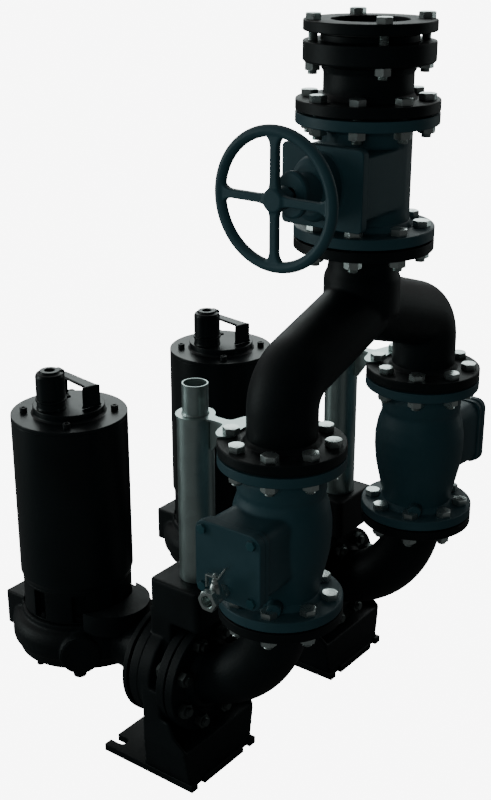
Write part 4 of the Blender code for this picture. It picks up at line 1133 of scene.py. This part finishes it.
def gate_valve():
    """Gate valve body, bonnet, stem and handwheel."""
    low, high = GATE_JOINT_Z, ADAPTER_JOINT_Z
    body = turned([(0, low + 0.012), (0.0745, low + 0.012), (0.0730, low + 0.020, 0.004),
                   (GATE_BODY_R, low + 0.026, 0.006),
                   (GATE_BODY_R, high - 0.026, 0.006), (0.0730, high - 0.020, 0.004),
                   (0.0745, high - 0.012), (0, high - 0.012)])
    near = BONNET_FACE_Y + BONNET_T + GAP
    casing_line = rounded(GATE_BODY_R + 0.0004, 0.0468, 0.004, (0, GATE_Z + 0.001), 4)
    casing = prism(casing_line, "Y", near + 0.001, 0.004)
    back = hull([(x, y, GATE_Z + z) for x, y in ((-0.058, 0), (0.058, 0), (0.046, 0.060), (-0.046, 0.060))
                 for z in (-0.040, 0.040)])
    cast_body = cast(cut(union(body, casing, back),
                         rod((0, 0, low - 0.02), (0, 0, high + 0.02), MAIN_BORE_R)), 7)
    band = bevelled(prism(casing_line, "Y", near, near + 0.006), 0.0008)
    band = cut(band, rod((0, 0, low), (0, 0, high), MAIN_BORE_R))
    rims = [flange(low, 1, MAIN_FLANGE_R, MAIN_FACE_R, MAIN_BORE_R, 0.0755, 0.0712),
            flange(high, -1, MAIN_FLANGE_R, MAIN_FACE_R, MAIN_BORE_R, 0.0755, 0.0712)]
    wedge = turned([(0, -0.012), (0.0495, -0.012), (0.0495, 0.012), (0, 0.012)], (0, 0, GATE_Z), "Z", 64)
    piece("gate_valve_casting", together(cast_body, band, *rims), PETROL_CASTING, "base",
          ["gate_valve_body"])
    piece("gate_wedge", wedge, RUBBER, "base")

    plate = bevelled(prism(rounded(BONNET_HALF, BONNET_HALF_Z, 0.008, (0, GATE_Z - 0.002), 8), "Y",
                           BONNET_FACE_Y, BONNET_FACE_Y + BONNET_T), 0.0020, 4)
    inner = STEM_R + 0.0005
    dome = turned([(inner, 0.118), (0.0395, 0.118), (0.0395, 0.1222), (0.0380, 0.1250, 0.002),
                   (0.0380, 0.144, 0.004),
                   (0.0350, 0.152, 0.006), (0.0290, 0.157, 0.004), (inner, 0.157)])
    neck = turned([(inner, 0.150), (0.0265, 0.150), (0.0260, 0.192), (inner, 0.192)])
    gland = turned([(inner, 0.190), (0.0270, 0.190, 0.001), (0.0270, 0.198, 0.001), (0.0245, 0.200, 0.001),
                    (inner, 0.200)])
    rounds = []
    for part, tall in ((dome, DOME_TALL), (neck, 1.0), (gland, 1.28)):
        part.transform(shift(0, 0, GATE_Z) @ Matrix.Diagonal((1, 1, tall, 1)) @ FACES_LESS_Y)
        rounds.append(part)
    piece("bonnet_casting", together(plate, *rounds), PETROL_CASTING, "base",
          ["gate_valve_bonnet"])

    stem = turned([(0, 0.152), (STEM_R, 0.152), (STEM_R, 0.2397, 0.0006), (0, 0.2397)], steps=48)
    stem.transform(shift(0, 0, GATE_Z) @ FACES_LESS_Y)
    piece("stem_spindle", stem, STEEL, "wheel", ["gate_valve_stem"])

    count = 24
    rim = turned([(WHEEL_R + WHEEL_RIM_R * math.cos(2 * math.pi * k / count),
                   WHEEL_RIM_R * math.sin(2 * math.pi * k / count), 0) for k in range(count)],
                 (0, WHEEL_Y, GATE_Z), "Y", 128, 0)
    hub = turned([(0, -0.0085), (0.0150, -0.0085, 0.002), (0.0172, -0.0068, 0.002), (0.0172, 0.0060, 0.003),
                  (0.0165, 0.0090), (0.0165, 0.0230), (STEM_R + GAP, 0.0230), (STEM_R + GAP, -0.002),
                  (0, -0.002)],
                 (0, WHEEL_Y, GATE_Z), "Y", 64)
    arms = []
    for index in range(4):
        half = [(0.010, 0.0105), (0.019, 0.0078), (0.026, 0.0066), (0.075, 0.0065), (0.0815, 0.0078),
                (0.0865, 0.0110),
                (0.0900, 0.0155), (0.0925, 0.0190), (WHEEL_R, 0.0200)]
        arm = bevelled(prism(half + [(a, -b) for a, b in reversed(half)], "Y", -0.0058, 0.0058), 0.0045, 3,
                       40)
        arm.transform(shift(0, WHEEL_Y, GATE_Z) @ Matrix.Rotation(math.pi / 2 * index, 4, "Y"))
        arms.append(arm)
    wheel = cast(together(rim, hub, *arms), 4, 0.0014)
    piece("handwheel_casting", wheel, PETROL_CASTING, "wheel", ["handwheel"])


def adapter():
    """Flange adapter on top: flange, socket, clamping ring and the seal between them."""
    low = ADAPTER_JOINT_Z
    body = turned([(MAIN_BORE_R, low + FACE_GAP), (MAIN_FACE_R, low + FACE_GAP, 0.0004),
                   (MAIN_FACE_R, low + RIM_GAP, 0.0004),
                   (MAIN_FLANGE_R, low + RIM_GAP, 0.001), (MAIN_FLANGE_R, low + SEAT, 0.0022),
                   (0.0745, low + SEAT, 0.004),
                   (ADAPTER_NECK_R, low + 0.027, 0.004), (ADAPTER_NECK_R, 1.180, 0.005),
                   (0.074, 1.190, 0.004),
                   (SOCKET_R - 0.002, 1.1955, 0.002), (SOCKET_R, 1.198, 0.002),
                   (SOCKET_R, SOCKET_TOP, 0.0022),
                   (NOSE_R, SOCKET_TOP, 0.001), (NOSE_R, RING_Z0 - 0.0045, 0.001),
                   (0.0605, RING_Z0 - 0.0045),
                   (0.0605, 1.185), (MAIN_BORE_R, 1.183)])
    piece("adapter_casting", body, BLACK_CASTING, "base", ["adapter_body"])
    seal = turned([(0.0585, RING_Z0 - 0.0200), (0.0603, RING_Z0 - 0.0200), (0.0603, RING_Z0 - 0.0044),
                   (0.0725, RING_Z0 - 0.0044),
                   (0.0725, RING_Z0 - 0.0001), (0.0585, RING_Z0 - 0.0001)], ease=0.0006)
    piece("adapter_seal", seal, RUBBER, "base")
    ring = turned([(RING_BORE_R, RING_Z0), (SOCKET_R, RING_Z0, 0.0018), (SOCKET_R, RING_Z1, 0.0022),
                   (RING_BORE_R, RING_Z1, 0.0018)])
    piece("adapter_clamping_ring", ring, BLACK_CASTING, "base", ["adapter_ring"])
    over = RING_Z1 - SOCKET_TOP
    clamp = hex_bolt(0.0150, over, SOCKET_TOP - 1.1955)
    bolts("clamping_bolts", clamp, circle(4, RING_BOLT_CIRCLE_R), shift(0, 0, SOCKET_TOP), 51, "base")


def joint_bolts(unit, y):
    """Bolts and gaskets of one unit's three flanged joints."""
    ring = circle(8, LEG_BOLT_CIRCLE_R)
    held_down = (3, 4)
    free = [point for k, point in enumerate(ring) if k not in held_down]
    under_arm = [ring[k] for k in held_down]
    long_bolt = hex_bolt(BOLT, SEAT + ARM_T + 0.0006, SEAT)
    bolts(unit + "_bend_bolts", hex_bolt(BOLT, SEAT, SEAT), ring, shift(0, y, BEND_JOINT_Z), 3)
    bolts(unit + "_breeches_bolts", hex_bolt(BOLT, SEAT, SEAT), free, shift(0, y, YOKE_JOINT_Z), 4)
    bolts(unit + "_bracket_bolts", long_bolt, under_arm, shift(0, y, YOKE_JOINT_Z), 6)
    # The foot flange's nuts take the darkened zinc finish: painted shade in place of real shading.
    bolts(unit + "_foot_bolts", hex_bolt(BOLT, SEAT, SEAT), ring,
          shift(OUTLET_X, y, INLET_Z) @ FACES_LESS_X, 8, finish=SHADED_BOLT)
    gasket(unit + "_bend_gasket", BEND_JOINT_Z, LEG_FACE_R, LEG_BORE_R, (0, y, 0))
    gasket(unit + "_breeches_gasket", YOKE_JOINT_Z, LEG_FACE_R, LEG_BORE_R, (0, y, 0))
    gasket(unit + "_foot_gasket", OUTLET_X, LEG_FACE_R, LEG_BORE_R, (0, y, INLET_Z), "X")


for unit, unit_y, outer in (("front", -UNIT_Y, -1), ("back", UNIT_Y, 1)):
    foot(unit, unit_y)
    bend(unit, unit_y)
    lid_y = check_valve(unit, unit_y, outer)
    drain_cock(unit, lid_y, outer)
    guide_parts(unit, unit_y)
    volute(unit, unit_y)
    motor(unit, unit_y)
    joint_bolts(unit, unit_y)
yoke()
gate_valve()
adapter()
for name, height, seed in (("gate_valve_bolts", GATE_JOINT_Z, 11), ("adapter_bolts", ADAPTER_JOINT_Z, 12)):
    bolts(name, hex_bolt(BOLT, SEAT, SEAT), circle(8, MAIN_BOLT_CIRCLE_R), shift(0, 0, height), seed)
gasket("gate_valve_gasket", GATE_JOINT_Z, MAIN_FACE_R, MAIN_BORE_R)
gasket("adapter_gasket", ADAPTER_JOINT_Z, MAIN_FACE_R, MAIN_BORE_R)

# The view of the photograph.
camera = bpy.data.objects.new("camera", bpy.data.cameras.new("camera"))
bpy.context.collection.objects.link(camera)
camera.data.sensor_width = 36.0
camera.data.lens = 57.97
camera.data.clip_start = 0.05
camera.data.clip_end = 50.0
sight = (Vector((0.79737, 0.60349, 0)), Vector((-0.21924, 0.28968, 0.93168)),
         Vector((0.56226, -0.74289, 0.36329)))
camera.matrix_world = Matrix.Translation((1.27425, -1.6835, 1.42161)) @ Matrix(sight).transposed().to_4x4()
bpy.context.scene.camera = camera

# Pale floor and soft studio light.
shape = bmesh.new()
bmesh.ops.create_grid(shape, x_segments=1, y_segments=1, size=30.0)
floor = held(meshed(shape), "floor")
floor.location.z = -0.0005
floor_coat = Coat("pale_floor", 0.95, 0.0, 0.0)
floor_coat.set("Base Color", floor_coat.mixed(floor_coat.noise(3.0, 3.0), (0.11, 0.11, 0.11),
                                              (0.13, 0.13, 0.13)))
seen = floor_coat.add("ShaderNodeLightPath", {}, {}, "Is Camera Ray")
floor_coat.set("Emission Color", floor_coat.mixed(seen, (0.02, 0.02, 0.02), (8.0, 8.0, 8.0)))
floor_coat.set("Emission Strength", 1.0)
floor.data.materials.append(floor_coat.material)


COOL = (0.88, 1.0, 0.985)


def lamp(name, place, target, size, power, colour, mirrored=True):
    """A soft panel. One that isn't mirrored lights what is matt and doesn't show in what is glossy."""
    light = bpy.data.lights.new(name, "AREA")
    light.shape = "RECTANGLE"
    light.size, light.size_y = size
    light.energy = power
    light.color = colour
    made = bpy.data.objects.new(name, light)
    made.location = place
    made.rotation_euler = (Vector(target) - Vector(place)).to_track_quat("-Z", "Y").to_euler()
    made.visible_glossy = mirrored
    bpy.context.collection.objects.link(made)


lamp("left_panel", (-2.7, -2.0, 0.75), (0, 0, 0.55), (0.9, 2.2), 30.0, COOL)
lamp("back_panel", (-1.9, 2.6, 1.9), (0, 0, 0.6), (2.6, 1.6), 30.0, COOL)
lamp("rim_panel", (1.3, 3.4, 1.0), (0, 0, 0.6), (0.5, 2.2), 6.0, COOL)
lamp("front_panel", (1.3, -3.2, 1.4), (0, 0, 0.6), (1.8, 1.8), 23.0, COOL, mirrored=False)

world = bpy.data.worlds.new("studio")
bpy.context.scene.world = world
world.use_nodes = True
sky = Nodes(world.node_tree)
way = sky.add("ShaderNodeTexCoord", {}, {}, "Generated")


def towards(x, y, z):
    """How far a direction of the sky leans towards x, y, z."""
    return sky.add("ShaderNodeVectorMath", {"operation": "DOT_PRODUCT"}, {0: way, 1: (x, y, z)}, "Value")


height = towards(0, 0, 1)
glow = sky.between(towards(-0.6, 0.8, 0.0), 0.05, 0.75) * sky.between(height, 0.02, 0.30)
side = sky.between(towards(-0.797, -0.603, 0.0), 0.45, 0.95) * sky.between(height, -0.1, 0.25)
top = sky.between(height, 0.55, 1.0)
ambient = glow * 0.62 + side * 0.30 + top * 0.10 + 0.02
seen = sky.add("ShaderNodeLightPath", {}, {}, "Is Camera Ray")
strength = ambient + seen * (8.0 - ambient)
world.node_tree.links.new(strength.socket, world.node_tree.nodes["Background"].inputs["Strength"])
world.node_tree.nodes["Background"].inputs["Color"].default_value = (1.0, 1.0, 1.0, 1.0)
